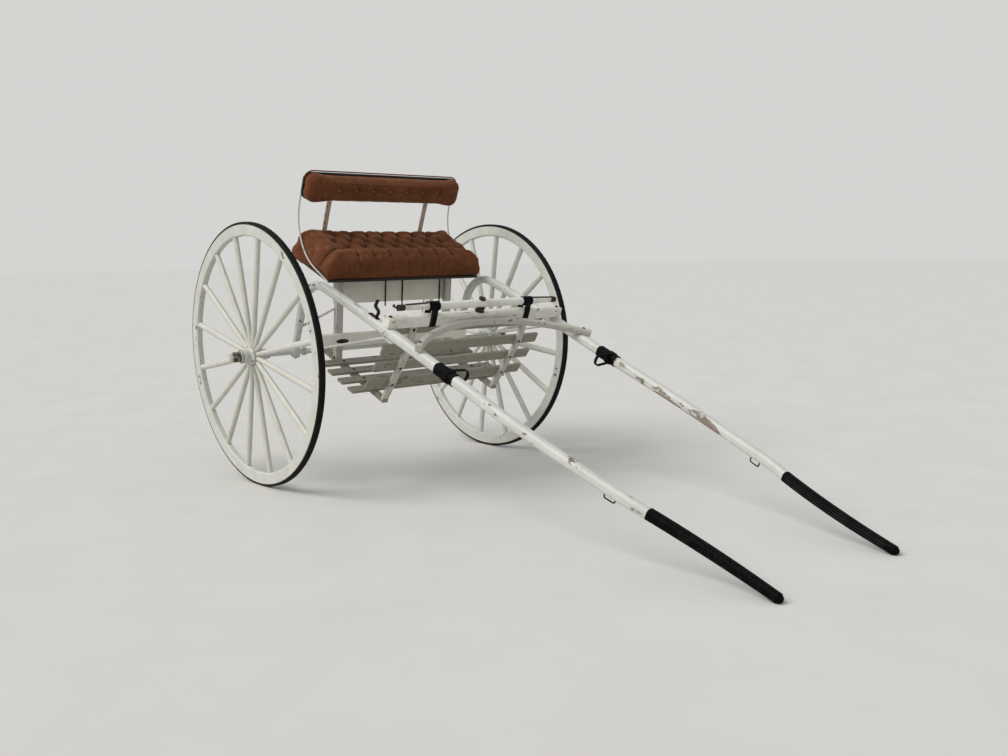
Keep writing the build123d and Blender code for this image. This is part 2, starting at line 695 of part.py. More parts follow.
# Back rest: irons behind the seat board, back board and pad
back_irons = []
for sign in SIDES.values():
    low = (SEAT_BACK_U - IRON_THICK, sign * IRON_Y - IRON_WIDTH / 2, SEAT_W - IRON_FOOT)
    high = (SEAT_BACK_U, sign * IRON_Y + IRON_WIDTH / 2, BACK_W + BACK_HEIGHT / 2 - IRON_TOP_IN)
    back_irons.append(park(box_between(low, high)).solid())
parts["back_irons"] = Compound(back_irons)


def back_slab(start_u, thick, grow):
    """A slab of the back rest with round corners, its outline grown all round."""
    plane = Plane(origin=(start_u, 0, BACK_W), x_dir=(0, 1, 0), z_dir=(1, 0, 0))
    outline = RectangleRounded(2 * (BACK_HALF + grow), BACK_HEIGHT + 2 * grow, BACK_CORNER + grow)
    return extrude(plane * outline, thick)


parts["back_board"] = park(back_slab(SEAT_BACK_U, BACK_BOARD_THICK, 0))
pad_u = SEAT_BACK_U + BACK_BOARD_THICK + SOFT_GAP
pad = back_slab(pad_u, BACK_PAD_THICK, BACK_PAD_OVER)
pad = fillet(pad.edges().group_by(Axis.X)[-1], BACK_PAD_THICK * BACK_PAD_ROUND)
parts["back_cushion"] = park(pad)

# Side rails: one bent rod from the seat's front corner, up behind the back board's end
rail_u = SEAT_BACK_U - RAIL_R - RAIL_GAP
rail_w = SEAT_W + SEAT_BOARD_THICK / 2
rails = []
for sign in SIDES.values():
    points = [
        (SEAT_FRONT_U, sign * RAIL_Y, rail_w),
        (rail_u, sign * RAIL_Y, rail_w + RAIL_RISE),
        (rail_u, sign * RAIL_Y, RAIL_TOP_W),
    ]
    rails.append(park(rod(points, RAIL_R, RAIL_BEND_R)).solid())
parts["seat_rails"] = Compound(rails)

# Irons: axle clips under the heels, stays to the shafts, struts to the posts
clips = []
stays = []
struts = []
axle_cut = Rot(90, 0, 0) * Cylinder(AXLE_R, TRACK)
for side, sign in SIDES.items():
    beam_y = sign * SHAFT_Y
    clip_low = (-CLIP_U / 2, beam_y - CLIP_Y / 2, -CLIP_DROP)
    clip_high = (CLIP_U / 2, beam_y + CLIP_Y / 2, AXLE_R + CLIP_LIP)
    clip = box_between(clip_low, clip_high)
    clips.append(park(clip - axle_cut - shafts[side]).solid())
    foot_top = shaft_w(STAY_TOP_U) - shaft_size(STAY_TOP_U)[0] / 2 + SEAT_IN
    foot_w = foot_top - STAY_FOOT_THICK
    eye = Pos(0, sign * STAY_Y, 0) * Rot(90, 0, 0) * ring(AXLE_R + STAY_EYE_WALL, AXLE_R, STAY_EYE_WIDTH)
    run = rod([(0, sign * STAY_Y, 0), (STAY_TOP_U, beam_y, foot_w)], STAY_R)
    foot_low = (STAY_TOP_U - STAY_R, beam_y - STAY_FOOT_WIDTH / 2, foot_w)
    foot_high = (STAY_TOP_U + STAY_FOOT, beam_y + STAY_FOOT_WIDTH / 2, foot_top)
    stay = eye + (run - axle_cut) + box_between(foot_low, foot_high) - shafts[side]
    stays.append(park(biggest(stay)))
    strut_top = (post_u(STRUT_POST_W), sign * FRAME_Y, STRUT_POST_W)
    strut = rod([strut_top, (HEEL_U, beam_y, STRUT_HEEL_W)], STRUT_R)
    strut = strut - posts[0] - posts[1] - shafts[side]
    struts.append(park(biggest(strut)))
parts["axle_clips"] = Compound(clips)
parts["shaft_stays"] = Compound(stays)
parts["post_struts"] = Compound(struts)


def shaft_hook():
    """Iron hook that stands on the right shaft behind the crossbar."""
    length, width, thick = HOOK_PLATE
    top = shaft_w(HOOK_U) + shaft_size(HOOK_U)[0] / 2 - SEAT_IN
    y = -shaft_y(HOOK_U)
    plate_low = (HOOK_U - length / 2, y - width / 2, top)
    plate_high = (HOOK_U + length / 2, y + width / 2, top + thick + SEAT_IN)
    plate = box_between(plate_low, plate_high)
    points = [(HOOK_U + ahead, y, top + share * HOOK_HEIGHT) for ahead, share in HOOK_LINE]
    path = FilletPolyline(*points, radius=HOOK_BEND_R)
    section = Plane(origin=path @ 0, x_dir=(0, 1, 0), z_dir=path % 0) * Rectangle(*HOOK_STRAP)
    return plate + sweep(section, path) - shafts["right"]


parts["shaft_hook"] = park(shaft_hook())

os.makedirs("parts", exist_ok=True)
for name, shape in parts.items():
    export_step(shape, f"parts/{name}.step")
print(f"park tilt {PARK_TILT:.2f} deg, axle at x {AXLE_X:.1f}, z {AXLE_Z:.2f}, nodes {len(parts)}")
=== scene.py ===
"""Looks of a parked two-wheeled road cart: finishes, cushions, leather, irons, floor, light and camera."""
import logging
import math
from dataclasses import dataclass, field
from enum import Enum

import bmesh
import bpy
import numpy as np
from mathutils import Matrix, Vector, kdtree
from mathutils.bvhtree import BVHTree


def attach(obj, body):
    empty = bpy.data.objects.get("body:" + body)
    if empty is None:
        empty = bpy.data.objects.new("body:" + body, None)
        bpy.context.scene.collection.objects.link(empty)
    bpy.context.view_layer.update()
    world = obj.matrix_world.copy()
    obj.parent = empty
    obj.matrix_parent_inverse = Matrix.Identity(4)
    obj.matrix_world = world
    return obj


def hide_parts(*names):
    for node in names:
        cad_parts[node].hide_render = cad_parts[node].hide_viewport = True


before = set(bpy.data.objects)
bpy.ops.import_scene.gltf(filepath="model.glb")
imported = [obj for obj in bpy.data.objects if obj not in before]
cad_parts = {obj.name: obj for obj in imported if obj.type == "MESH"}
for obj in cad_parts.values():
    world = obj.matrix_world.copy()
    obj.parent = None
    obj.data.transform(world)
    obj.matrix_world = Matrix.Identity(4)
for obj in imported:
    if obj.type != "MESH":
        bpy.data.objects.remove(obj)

log = logging.getLogger("cart")

Colour = tuple[float, float, float]
Point = tuple[float, float, float]
Pair = tuple[float, float]
Socket = bpy.types.NodeSocket
Value = Socket | float
Shade = Socket | Colour

# The level cart frame: forward, left, up from the middle of the axle, in metres.
AXLE_X = -0.976020
AXLE_Z = 0.600141
TILT = math.radians(22.069989)
TRACK = 1.409
CAMBER = math.radians(1.3)
SIGNS = {"left": 1, "right": -1}
PARK = Matrix.Translation((AXLE_X, 0, AXLE_Z)) @ Matrix.Rotation(TILT, 4, "Y")

AHEAD, BEHIND, UP, DOWN = (1, 0, 0), (-1, 0, 0), (0, 0, 1), (0, 0, -1)

# The ray that seats an item on a CAD node: how far off the place it starts, and how far it goes.
RAY_START = 0.05
RAY_LENGTH = 0.12

# Materials: where edge wear starts, as a cosine, and the lengths over which things fade or run.
EDGE_START = 0.99
BARE_FADE = 0.03
BARE_TOP_FADE = 0.008
HUB_BAND_FADE = 0.002
FELLOE_MIDDLE_R = 0.56

# The cushions' filling.
CLOTH = {"use_pressure": True, "uniform_pressure_force": 4.0, "tension_stiffness": 12.0,
         "compression_stiffness": 12.0, "bending_stiffness": 0.4}
CLOTH_STEPS = 20

LENS_MM = 36.07
CAMERA_AT = (3.19792, -2.86952, 1.04464)
CAMERA_RIGHT = (0.66271857, 0.74874243, -0.01374294)
CAMERA_UP = (-0.08277388, 0.09147838, 0.99236092)
CAMERA_FORWARD = (-0.74427991, 0.65651845, -0.12260074)


class Body(Enum):
    """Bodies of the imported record."""

    CART = "cart"
    WHEEL_LEFT = "wheel_left"
    WHEEL_RIGHT = "wheel_right"


class Grain(Enum):
    """Direction in which wood grain or brushing runs."""

    LONG = "along the shafts"
    CROSS = "across the cart"
    UP = "up the posts"
    SPOKE = "out along the spokes"
    RIM = "round the rim"


STRETCH = {
    Grain.LONG: (0.06, 1.0, 1.0),
    Grain.CROSS: (1.0, 0.06, 1.0),
    Grain.UP: (1.0, 1.0, 0.06),
    Grain.SPOKE: (0.06, 1.0, 1.0),
    Grain.RIM: (1.0, 0.06, 1.0),
}


class Graph:
    """Adds and links the nodes of one tree."""

    def __init__(self, tree: bpy.types.NodeTree) -> None:
        """Start on a tree and empty it."""
        self.tree = tree
        tree.nodes.clear()

    def add(self, kind: str, inputs: dict | None = None, **settings) -> bpy.types.Node:
        """Add a node.

        Args:
            kind: the node's type name.
            inputs: value or output socket for each input, by name or index.
            settings: attributes of the node.

        Returns:
            The new node.
        """
        node = self.tree.nodes.new(kind)
        for key, value in settings.items():
            setattr(node, key, value)
        for key, value in (inputs or {}).items():
            if isinstance(value, Socket):
                self.tree.links.new(value, node.inputs[key])
            else:
                node.inputs[key].default_value = value
        return node

    def math(self, operation: str, a: Value, b: Value = 0.0) -> Socket:
        """Return the output of a Math node on two values or sockets."""
        return self.add("ShaderNodeMath", {0: a, 1: b}, operation=operation).outputs[0]

    def product(self, first: Value, *others: Value) -> Socket:
        """Return the product of two or more values or sockets.

        Args:
            first: the first value.
            others: the rest.

        Returns:
            The product's socket.
        """
        for other in others:
            first = self.math("MULTIPLY", first, other)
        return first

    def vector(self, operation: str, a: Socket, b: Socket | Point) -> Socket:
        """Return the vector output of a Vector Math node."""
        return self.add("ShaderNodeVectorMath", {0: a, 1: b}, operation=operation).outputs[0]

    def noise(self, vector: Socket, scale: float, detail: float = 4.0, rough: float = 0.55) -> Socket:
        """Return a noise value between about 0.2 and 0.8."""
        inputs = {"Vector": vector, "Scale": scale, "Detail": detail, "Roughness": rough}
        return self.add("ShaderNodeTexNoise", inputs).outputs["Fac"]

    def remap(self, value: Socket, low: float, high: float, to_low: float = 0.0, to_high: float = 1.0) -> Socket:
        """Return value taken from one range to another, held at its ends."""
        inputs = {0: value, 1: low, 2: high, 3: to_low, 4: to_high}
        return self.add("ShaderNodeMapRange", inputs, clamp=True).outputs[0]

    def mix(self, factor: Value, a: Shade, b: Shade) -> Socket:
        """Return a mix of two colours, given as tuples or sockets."""
        sockets = {0: factor, 6: opaque(a), 7: opaque(b)}
        return self.add("ShaderNodeMix", sockets, data_type="RGBA").outputs[2]

    def bump(self, height: Socket, distance: float, strength: float = 1.0, normal: Socket | None = None) -> Socket:
        """Return a bumped normal, height in 0 to 1 and distance in metres.

        Args:
            height: the relief, from 0 to 1.
            distance: what a height of 1 stands for, in metres.
            strength: share of the bump that shows.
            normal: a bump to add to.

        Returns:
            The normal's socket.
        """
        inputs = {"Height": height, "Distance": distance, "Strength": strength}
        if normal is not None:
            inputs["Normal"] = normal
        return self.add("ShaderNodeBump", inputs).outputs[0]

    def separate(self, vector: Socket) -> list[Socket]:
        """Return the three numbers of a vector."""
        return list(self.add("ShaderNodeSeparateXYZ", {0: vector}).outputs)

    def edges(self, radius: float, full: float) -> Socket:
        """Return 0 on flat faces and 1 on sharp edges.

        Args:
            radius: how far an edge reaches, in metres.
            full: cosine between the face's normal and the rounded one at which the value is 1.

        Returns:
            The value's socket.
        """
        soft = self.add("ShaderNodeBevel", {"Radius": radius}, samples=6).outputs[0]
        true = self.add("ShaderNodeNewGeometry").outputs["Normal"]
        facing = self.add("ShaderNodeVectorMath", {0: soft, 1: true}, operation="DOT_PRODUCT").outputs["Value"]
        return self.remap(facing, EDGE_START, full)


def opaque(colour: Shade) -> Socket | tuple[float, ...]:
    """Return a colour tuple with full alpha; a socket stays as it is."""
    return (*colour, 1.0) if isinstance(colour, tuple) else colour


def dimmed(colour: Colour, share: float) -> Colour:
    """Return a share of a colour."""
    return tuple(share * c for c in colour)


def place_vector(g: Graph, grain: Grain = Grain.LONG) -> Socket:
    """Return coordinates in metres in which a grain runs along one axis.

    Args:
        g: the material's graph.
        grain: direction of the grain.

    Returns:
        Level-frame coordinates, or polar ones round the axle for the wheels.
    """
    there = g.add("ShaderNodeTexCoord").outputs["Object"]
    local = g.vector("SUBTRACT", there, (AXLE_X, 0, AXLE_Z))
    if grain in (Grain.LONG, Grain.CROSS, Grain.UP):
        turn = {"Vector": local, "Angle": -TILT}
        return g.add("ShaderNodeVectorRotate", turn, rotation_type="Y_AXIS").outputs[0]
    x, y, z = g.separate(local)
    radius = g.math("SQRT", g.math("ADD", g.product(x, x), g.product(z, z)))
    arc = g.product(g.math("ARCTAN2", z, x), FELLOE_MIDDLE_R)
    return g.add("ShaderNodeCombineXYZ", {0: radius, 1: arc, 2: y}).outputs[0]


@dataclass(frozen=True)
class Finish:
    """A procedural material; each kind of finish draws its own graph."""

    name: str

    def build(self) -> bpy.types.Material:
        """Return the material.

        Returns:
            A new material with the drawn shader.
        """
        material = bpy.data.materials.new(self.name)
        material.use_nodes = True
        g = Graph(material.node_tree)
        shader = g.add("ShaderNodeBsdfPrincipled", self.draw(g))
        g.add("ShaderNodeOutputMaterial", {"Surface": shader.outputs[0]})
        return material

    def draw(self, g: Graph) -> dict:
        """Draw the finish in a graph and return the Principled shader's inputs.

        Args:
            g: the material's graph.

        Returns:
            Values and sockets by the names of the Principled shader's inputs.
        """
        raise NotImplementedError


@dataclass(frozen=True)
class Bare:
    """A length of a shaft where the paint is gone: from and to, forward of the axle, how much, and below what."""

    start: float
    end: float
    amount: float = 0.2
    below: float = 1.0

    def inside(self, g: Graph, here: Socket) -> Socket:
        """Return the amount inside the patch, fading to 0 outside it.

        Args:
            g: the material's graph.
            here: level-frame coordinates.

        Returns:
            The amount, fading to 0 outside.
        """
        forward, _, height = g.separate(here)
        return g.product(g.remap(forward, self.start - BARE_FADE, self.start + BARE_FADE),
                         g.remap(forward, self.end - BARE_FADE, self.end + BARE_FADE, 1.0, 0.0),
                         g.remap(height, self.below - BARE_TOP_FADE, self.below + BARE_TOP_FADE, 1.0, 0.0),
                         self.amount)


@dataclass(frozen=True)
class PaintedWood(Finish):
    """White paint on wood, with grain, dirt, chips and worn edges."""

    grain: Grain
    paint: Colour = (0.575, 0.59, 0.555)
    dirt: Colour = (0.38, 0.345, 0.28)
    wood: Colour = (0.25, 0.20, 0.155)
    dirty: float = 0.35
    chip_cut: float = 0.655
    edge_wear: float = 0.5
    bare: tuple[Bare, ...] = ()
    bevel: float = 0.003

    def draw(self, g: Graph) -> dict:
        """Draw the paint and the wood that shows at chips, bare patches and edges.

        Args:
            g: the material's graph.

        Returns:
            The shader's inputs.
        """
        here = place_vector(g, self.grain)
        along = g.vector("MULTIPLY", here, STRETCH[self.grain])
        chip_stretch = tuple(1.0 if s == 1.0 else 0.4 for s in STRETCH[self.grain])
        fibres = g.noise(along, 170.0, 4.0, 0.6)
        cracks = g.noise(along, 60.0, 5.0, 0.7)
        clouds = g.noise(here, 5.0, 3.0)
        chips = g.noise(g.vector("MULTIPLY", here, chip_stretch), 42.0, 7.0, 0.62)
        chips = g.math("ADD", chips, g.remap(clouds, 0.35, 0.7, -0.05, 0.04))
        for patch in self.bare:
            chips = g.math("ADD", chips, patch.inside(g, here))
        scuffs = g.remap(g.noise(here, 75.0, 5.0, 0.65), 0.50, 0.56)
        edge = g.product(g.edges(self.bevel, 0.80), scuffs, self.edge_wear)
        worn = g.math("MAXIMUM", g.remap(chips, self.chip_cut, self.chip_cut + 0.02), edge)
        hair = g.remap(cracks, 0.66, 0.70)
        grime = g.remap(g.noise(here, 16.0, 6.0, 0.65), 0.42, 0.72, 0.0, self.dirty)
        paint = g.mix(grime, self.paint, self.dirt)
        paint = g.mix(g.remap(fibres, 0.45, 0.75, 0.0, 0.22), paint, self.dirt)
        paint = g.mix(g.product(hair, 0.55), paint, self.wood)
        wood = g.mix(g.remap(fibres, 0.35, 0.65), dimmed(self.wood, 0.45), self.wood)
        raised = g.math("SUBTRACT", g.product(fibres, 0.25), worn)
        raised = g.math("SUBTRACT", raised, g.product(hair, 0.4))
        return {"Base Color": g.mix(worn, paint, wood), "Roughness": g.remap(worn, 0.0, 1.0, 0.5, 0.88),
                "Normal": g.bump(raised, 0.0006)}


@dataclass(frozen=True)
class PaintedIron(Finish):
    """Paint on iron, with rust at chips, edges and in an optional band along the wheel's hub."""

    paint: Colour = (0.55, 0.55, 0.51)
    rust: Colour = (0.11, 0.048, 0.022)
    chip_cut: float = 0.63
    edge_wear: float = 0.6
    hub_band: Pair | None = None

    def draw(self, g: Graph) -> dict:
        """Draw the paint and the rust under it.

        Args:
            g: the material's graph.

        Returns:
            The shader's inputs.
        """
        here = place_vector(g)
        flakes = g.noise(here, 55.0, 7.0, 0.65)
        fine = g.noise(here, 240.0, 4.0, 0.6)
        edge = g.product(g.edges(0.0025, 0.82), g.remap(flakes, 0.42, 0.52), self.edge_wear)
        worn = g.math("MAXIMUM", g.remap(flakes, self.chip_cut, self.chip_cut + 0.025), edge)
        if self.hub_band:
            low, high = self.hub_band
            out = g.math("SUBTRACT", g.math("ABSOLUTE", g.separate(here)[1]), TRACK / 2)
            band = g.product(g.remap(out, low, low + HUB_BAND_FADE),
                             g.remap(out, high, high + HUB_BAND_FADE, 1.0, 0.0),
                             g.remap(flakes, 0.40, 0.50, 0.55, 1.0))
            worn = g.math("MAXIMUM", worn, band)
        paint = g.mix(g.remap(flakes, 0.35, 0.65, 0.0, 0.3), self.paint, dimmed(self.paint, 0.62))
        rust = g.mix(g.remap(fine, 0.35, 0.65), dimmed(self.rust, 0.3), self.rust)
        raised = g.math("SUBTRACT", g.product(fine, 0.3), worn)
        return {"Base Color": g.mix(worn, paint, rust), "Roughness": g.remap(worn, 0.0, 1.0, 0.42, 0.86),
                "Normal": g.bump(raised, 0.0005)}


@dataclass(frozen=True)
class Iron(Finish):
    """Bare dark iron with random patches of rust."""

    dark: Colour = (0.022, 0.020, 0.019)
    rust: Colour = (0.09, 0.040, 0.020)
    rusty: float = 0.5

    def draw(self, g: Graph) -> dict:
        """Draw the iron and its rust.

        Args:
            g: the material's graph.

        Returns:
            The shader's inputs.
        """
        here = place_vector(g)
        coarse = g.noise(here, 90.0, 6.0, 0.65)
        fine = g.noise(here, 420.0, 3.0, 0.6)
        return {"Base Color": g.mix(g.remap(coarse, 0.48, 0.66, 0.0, self.rusty), self.dark, self.rust),
                "Roughness": g.remap(coarse, 0.35, 0.65, 0.42, 0.75),
                "Normal": g.bump(g.math("ADD", coarse, fine), 0.0004), "Metallic": 0.6}


@dataclass(frozen=True)
class Leather(Finish):
    """Black harness leather with pores, cross creases and dry scuffs."""

    dark: Colour = (0.0012, 0.0014, 0.0014)
    scuff: Colour = (0.022, 0.022, 0.022)

    def draw(self, g: Graph) -> dict:
        """Draw the leather and its scuffs.

        Args:
            g: the material's graph.

        Returns:
            The shader's inputs.
        """
        here = place_vector(g)
        pores = g.add("ShaderNodeTexVoronoi", {"Vector": here, "Scale": 520.0}, feature="F1").outputs["Distance"]
        folds = g.noise(g.vector("MULTIPLY", here, (1.0, 0.35, 0.35)), 46.0, 5.0, 0.6)
        dust = g.noise(here, 24.0, 6.0, 0.7)
        colour = g.mix(g.remap(dust, 0.52, 0.74, 0.0, 0.5), self.dark, self.scuff)
        return {"Base Color": g.mix(g.remap(folds, 0.56, 0.68, 0.0, 0.3), colour, self.scuff),
                "Roughness": g.remap(dust, 0.35, 0.65, 0.46, 0.68),
                "Normal": g.bump(folds, 0.0022, 0.8, g.bump(pores, 0.0003)), "Specular IOR Level": 0.06}


@dataclass(frozen=True)
class Rubber(Finish):
    """Dull solid rubber with chalky dust and fine circular wear."""

    dark: Colour = (0.0040, 0.0038, 0.0036)
    dust: Colour = (0.026, 0.023, 0.020)

    def draw(self, g: Graph) -> dict:
        """Draw the rubber and its dust.

        Args:
            g: the material's graph.

        Returns:
            The shader's inputs.
        """
        here = place_vector(g, Grain.RIM)
        rub = g.noise(g.vector("MULTIPLY", here, STRETCH[Grain.RIM]), 230.0, 4.0, 0.6)
        patch = g.noise(here, 26.0, 6.0, 0.7)
        colour = g.mix(g.remap(patch, 0.50, 0.74, 0.0, 0.55), self.dark, self.dust)
        return {"Base Color": g.mix(g.remap(rub, 0.55, 0.75, 0.0, 0.2), colour, self.dust),
                "Roughness": g.remap(patch, 0.35, 0.65, 0.58, 0.8),
                "Normal": g.bump(g.math("ADD", rub, patch), 0.0004), "Specular IOR Level": 0.12}


@dataclass(frozen=True)
class Velvet(Finish):
    """Rust-brown velvet: brushed nap with pale rubbed patches, and painted shade that darkens its folds and round its
    buttons.
    """

    nap: Colour = (0.160, 0.054, 0.021)
    # painted shade colour for the creases and button pits, also used for the random dark specks of pile
    shade_and_pile: Colour = (0.036, 0.011, 0.005)
    pale: Colour = (0.30, 0.135, 0.075)
    sheen: Colour = (1.0, 0.62, 0.42)

    def draw(self, g: Graph) -> dict:
        """Draw the nap, brushed and rubbed, with painted shade in the folds and round the buttons.

        Args:
            g: the material's graph.

        Returns:
            The shader's inputs.
        """
        here = place_vector(g)
        fold = g.add("ShaderNodeAttribute", attribute_name="fold").outputs["Fac"]
        brushed = g.noise(g.vector("MULTIPLY", here, (1.0, 0.5, 1.0)), 13.0, 5.0, 0.6)
        pile = g.noise(here, 1400.0, 2.0, 0.5)
        rubbed = g.noise(here, 44.0, 5.0, 0.7)
        colour = g.mix(g.remap(brushed, 0.36, 0.64), dimmed(self.nap, 0.72), self.nap)
        colour = g.mix(g.remap(rubbed, 0.54, 0.70, 0.0, 0.5), colour, self.pale)
        # painted shade: darken the colour in the cushion's creases and round its buttons, by the stored mask
        colour = g.mix(g.remap(fold, 0.25, 0.95, 0.0, 0.78), colour, self.shade_and_pile)
        return {"Base Color": g.mix(g.remap(pile, 0.35, 0.65, 0.0, 0.3), colour, self.shade_and_pile),
                "Normal": g.bump(g.math("ADD", pile, brushed), 0.0006), "Roughness": 0.92,
                "Sheen Weight": 0.24, "Sheen Roughness": 0.35, "Sheen Tint": opaque(self.sheen),
                "Specular IOR Level": 0.15}


@dataclass(frozen=True)
class Plain(Finish):
    """An even matt finish with a faint mottle, for piping, thread and the floor."""

    colour: Colour
    mottle: float = 0.12
    roughness: float = 0.8
    scale: float = 60.0

    def draw(self, g: Graph) -> dict:
        """Draw the mottle.

        Args:
            g: the material's graph.

        Returns:
            The shader's inputs.
        """
        patch = g.noise(place_vector(g), self.scale, 5.0, 0.6)
        dim = dimmed(self.colour, 1 - 2 * self.mottle)
        return {"Base Color": g.mix(g.remap(patch, 0.35, 0.65), self.colour, dim), "Normal": g.bump(patch, 0.0003),
                "Roughness": self.roughness, "Specular IOR Level": 0.2}


AGED: Colour = (0.42, 0.41, 0.36)
# painted shade: the slats' white paint darkened to the tone of their shaded faces
SLAT_SHADED_PAINT: Colour = (0.22, 0.205, 0.162)
FINISHES = {
    "shaft_right": PaintedWood("shaft_paint_right", Grain.LONG, chip_cut=0.65,
                               bare=(Bare(-0.02, 0.12, 0.05), Bare(0.29, 0.43, 0.09), Bare(1.30, 1.38, 0.08),
                                     Bare(1.71, 1.74, 0.07), Bare(1.95, 2.06, 0.10))),
    "shaft_left": PaintedWood("shaft_paint_left", Grain.LONG, wood=(0.34, 0.28, 0.225), chip_cut=0.65,
                              bare=(Bare(1.13, 1.75, 0.13, 0.407), Bare(1.36, 1.70, 0.10, 0.414))),
    "cross": PaintedWood("bar_paint", Grain.CROSS, (0.76, 0.75, 0.68), dirty=0.5, chip_cut=0.63, edge_wear=0.75),
    "bow": PaintedWood("bow_paint", Grain.CROSS, AGED, dirty=0.55, chip_cut=0.625, edge_wear=0.75),
    # painted light: the cross board's white paint made lighter than the other whites, so that its shaded front face
    # reads as lit
    "white_board": PaintedWood("white_board_paint", Grain.CROSS, (0.84, 0.82, 0.72), dirty=0.2, chip_cut=0.66),
    # painted shade: the slats' paint, grime and bare wood are all darkened as if in shade
    "slat": PaintedWood("slat_paint", Grain.CROSS, SLAT_SHADED_PAINT, (0.26, 0.225, 0.17), (0.17, 0.135, 0.10), 0.6,
                        0.60, 1.0),
    "post": PaintedWood("post_paint", Grain.UP, (0.47, 0.46, 0.41), dirty=0.5, chip_cut=0.635, edge_wear=0.7),
    "panel": PaintedWood("panel_paint", Grain.CROSS, (0.70, 0.675, 0.58), dirty=0.2, chip_cut=0.68),
    "rim": PaintedWood("rim_paint", Grain.RIM, (0.57, 0.58, 0.535), chip_cut=0.665, edge_wear=0.6),
    "spoke": PaintedWood("spoke_paint", Grain.SPOKE, (0.57, 0.575, 0.51), chip_cut=0.675, edge_wear=0.35,
                         bevel=0.002),
    "iron": PaintedIron("iron_paint"),
    "back_iron": PaintedIron("back_iron_paint", (0.46, 0.38, 0.30), (0.17, 0.09, 0.055), 0.60),
    "hub": PaintedIron("hub_paint", rust=(0.075, 0.034, 0.018), chip_cut=0.62, hub_band=(0.0655, 0.1035)),
    "black_iron": Iron("black_iron"),
    "rusty_iron": Iron("rusty_iron", (0.032, 0.023, 0.018), (0.085, 0.050, 0.034), 0.8),
    "leather": Leather("harness_leather"),
    "rubber": Rubber("tyre_rubber"),
    "velvet": Velvet("brown_velvet"),
    "board": PaintedWood("dark_board", Grain.CROSS, (0.011, 0.0095, 0.008), (0.06, 0.045, 0.035),
                         (0.10, 0.06, 0.04), chip_cut=0.66),
    "piping": Plain("dark_piping", (0.028, 0.016, 0.012), roughness=0.75),
    # painted highlight: velvet piping coloured lighter than the nap, standing in for the lit top edge of the back
    # cushion
    "back_piping_highlight": Plain("velvet_piping", (0.205, 0.088, 0.046), roughness=0.8),
    "button": Velvet("button_velvet", (0.21, 0.09, 0.048), (0.09, 0.03, 0.015)),
    "stitch": Plain("waxed_thread", (0.10, 0.095, 0.085), roughness=0.6, scale=900.0),
    "floor": Plain("pale_floor", (0.62, 0.61, 0.585), 0.02, 0.9, 3.0),
}
# The finish of each CAD node, by how its name starts; the longest start counts.
NODE_STARTS = {
    "shaft_left": ["shaft_left"], "shaft_right": ["shaft_right"], "cross": ["crossbar", "singletree"], "bow": ["bow"],
    "slat": ["dash_slat", "floor_slat", "floor_sills"], "post": ["dash_braces", "seat_posts"],
    "panel": ["seat_riser"], "white_board": ["cross_board"], "rim": ["felloe"], "spoke": ["spokes"],
    "iron": ["axle", "shaft_stays", "post_struts", "seat_rails"], "back_iron": ["back_irons"],
    "hub": ["axle_nuts", "hub"], "black_iron": ["seat_rods", "shaft_hook", "footman_loops"],
    "rusty_iron": ["singletree_irons"], "rubber": ["tyre"], "board": ["seat_board", "back_board"],
    "leather": ["shaft_wraps", "shaft_sleeve", "tug_loops", "keeper_straps"],
    "velvet": ["seat_cushion", "back_cushion"],
}
WHITE_WOODS = ("shaft_left", "shaft_right", "cross", "bow", "slat", "white_board", "post", "panel", "rim", "spoke")
SLOTS = dict.fromkeys(WHITE_WOODS, "white_wood") | {
    "iron": "white_iron", "back_iron": "white_iron", "hub": "hub_iron", "black_iron": "black_iron",
    "rusty_iron": "black_iron", "leather": "black_leather", "stitch": "black_leather", "rubber": "tyre_rubber",
    "board": "black_board", "velvet": "brown_velvet", "button": "brown_velvet", "piping": "brown_velvet",
    "back_piping_highlight": "brown_velvet",
}
materials: dict[str, bpy.types.Material] = {}


def finish(key: str) -> bpy.types.Material:
    """Return the material of a finish, built on first use.

    Args:
        key: the finish's key.

    Returns:
        The material.
    """
    if key not in materials:
        materials[key] = FINISHES[key].build()
    return materials[key]


@dataclass
class Form:
    """Vertices and faces of a piece before it becomes an object."""

    verts: list = field(default_factory=list)
    faces: list = field(default_factory=list)

    def add(self, other: "Form", matrix: Matrix | None = None) -> "Form":
        """Add another form, set by a matrix, and return this one.

        Args:
            other: the form to add.
            matrix: where it goes.

        Returns:
            This form.
        """
        start = len(self.verts)
        self.verts += [tuple(matrix @ Vector(v)) if matrix else tuple(v) for v in other.verts]
        self.faces += [tuple(i + start for i in face) for face in other.faces]
        return self

    def mesh(self, name: str) -> bpy.types.Mesh:
        """Return the form as a mesh with outward faces.

        Args:
            name: the mesh's name.

        Returns:
            The mesh.
        """
        mesh = bpy.data.meshes.new(name)
        mesh.from_pydata([tuple(v) for v in self.verts], [], self.faces)
        work = bmesh.new()
        work.from_mesh(mesh)
        bmesh.ops.recalc_face_normals(work, faces=work.faces)
        work.to_mesh(mesh)
        work.free()
        return mesh


def lathe(outline: list[Pair], segments: int = 24) -> Form:
    """Return a turned form.

    Args:
        outline: radius and height of each point, from one end to the other.
        segments: steps round.

    Returns:
        The form round +Z; points at radius 0 close it.
    """
    form = Form()
    rings = []
    for radius, height in outline:
        if radius == 0:
            rings.append([len(form.verts)])
            form.verts.append((0, 0, height))
            continue
        rings.append(list(range(len(form.verts), len(form.verts) + segments)))
        for i in range(segments):
            turn = 2 * math.pi * i / segments
            form.verts.append((radius * math.cos(turn), radius * math.sin(turn), height))
    for low, high in zip(rings, rings[1:]):
        for i in range(segments):
            j = (i + 1) % segments
            corners = [low[i % len(low)], low[j % len(low)], high[j % len(high)], high[i % len(high)]]
            form.faces.append(tuple(dict.fromkeys(corners)))
    return form


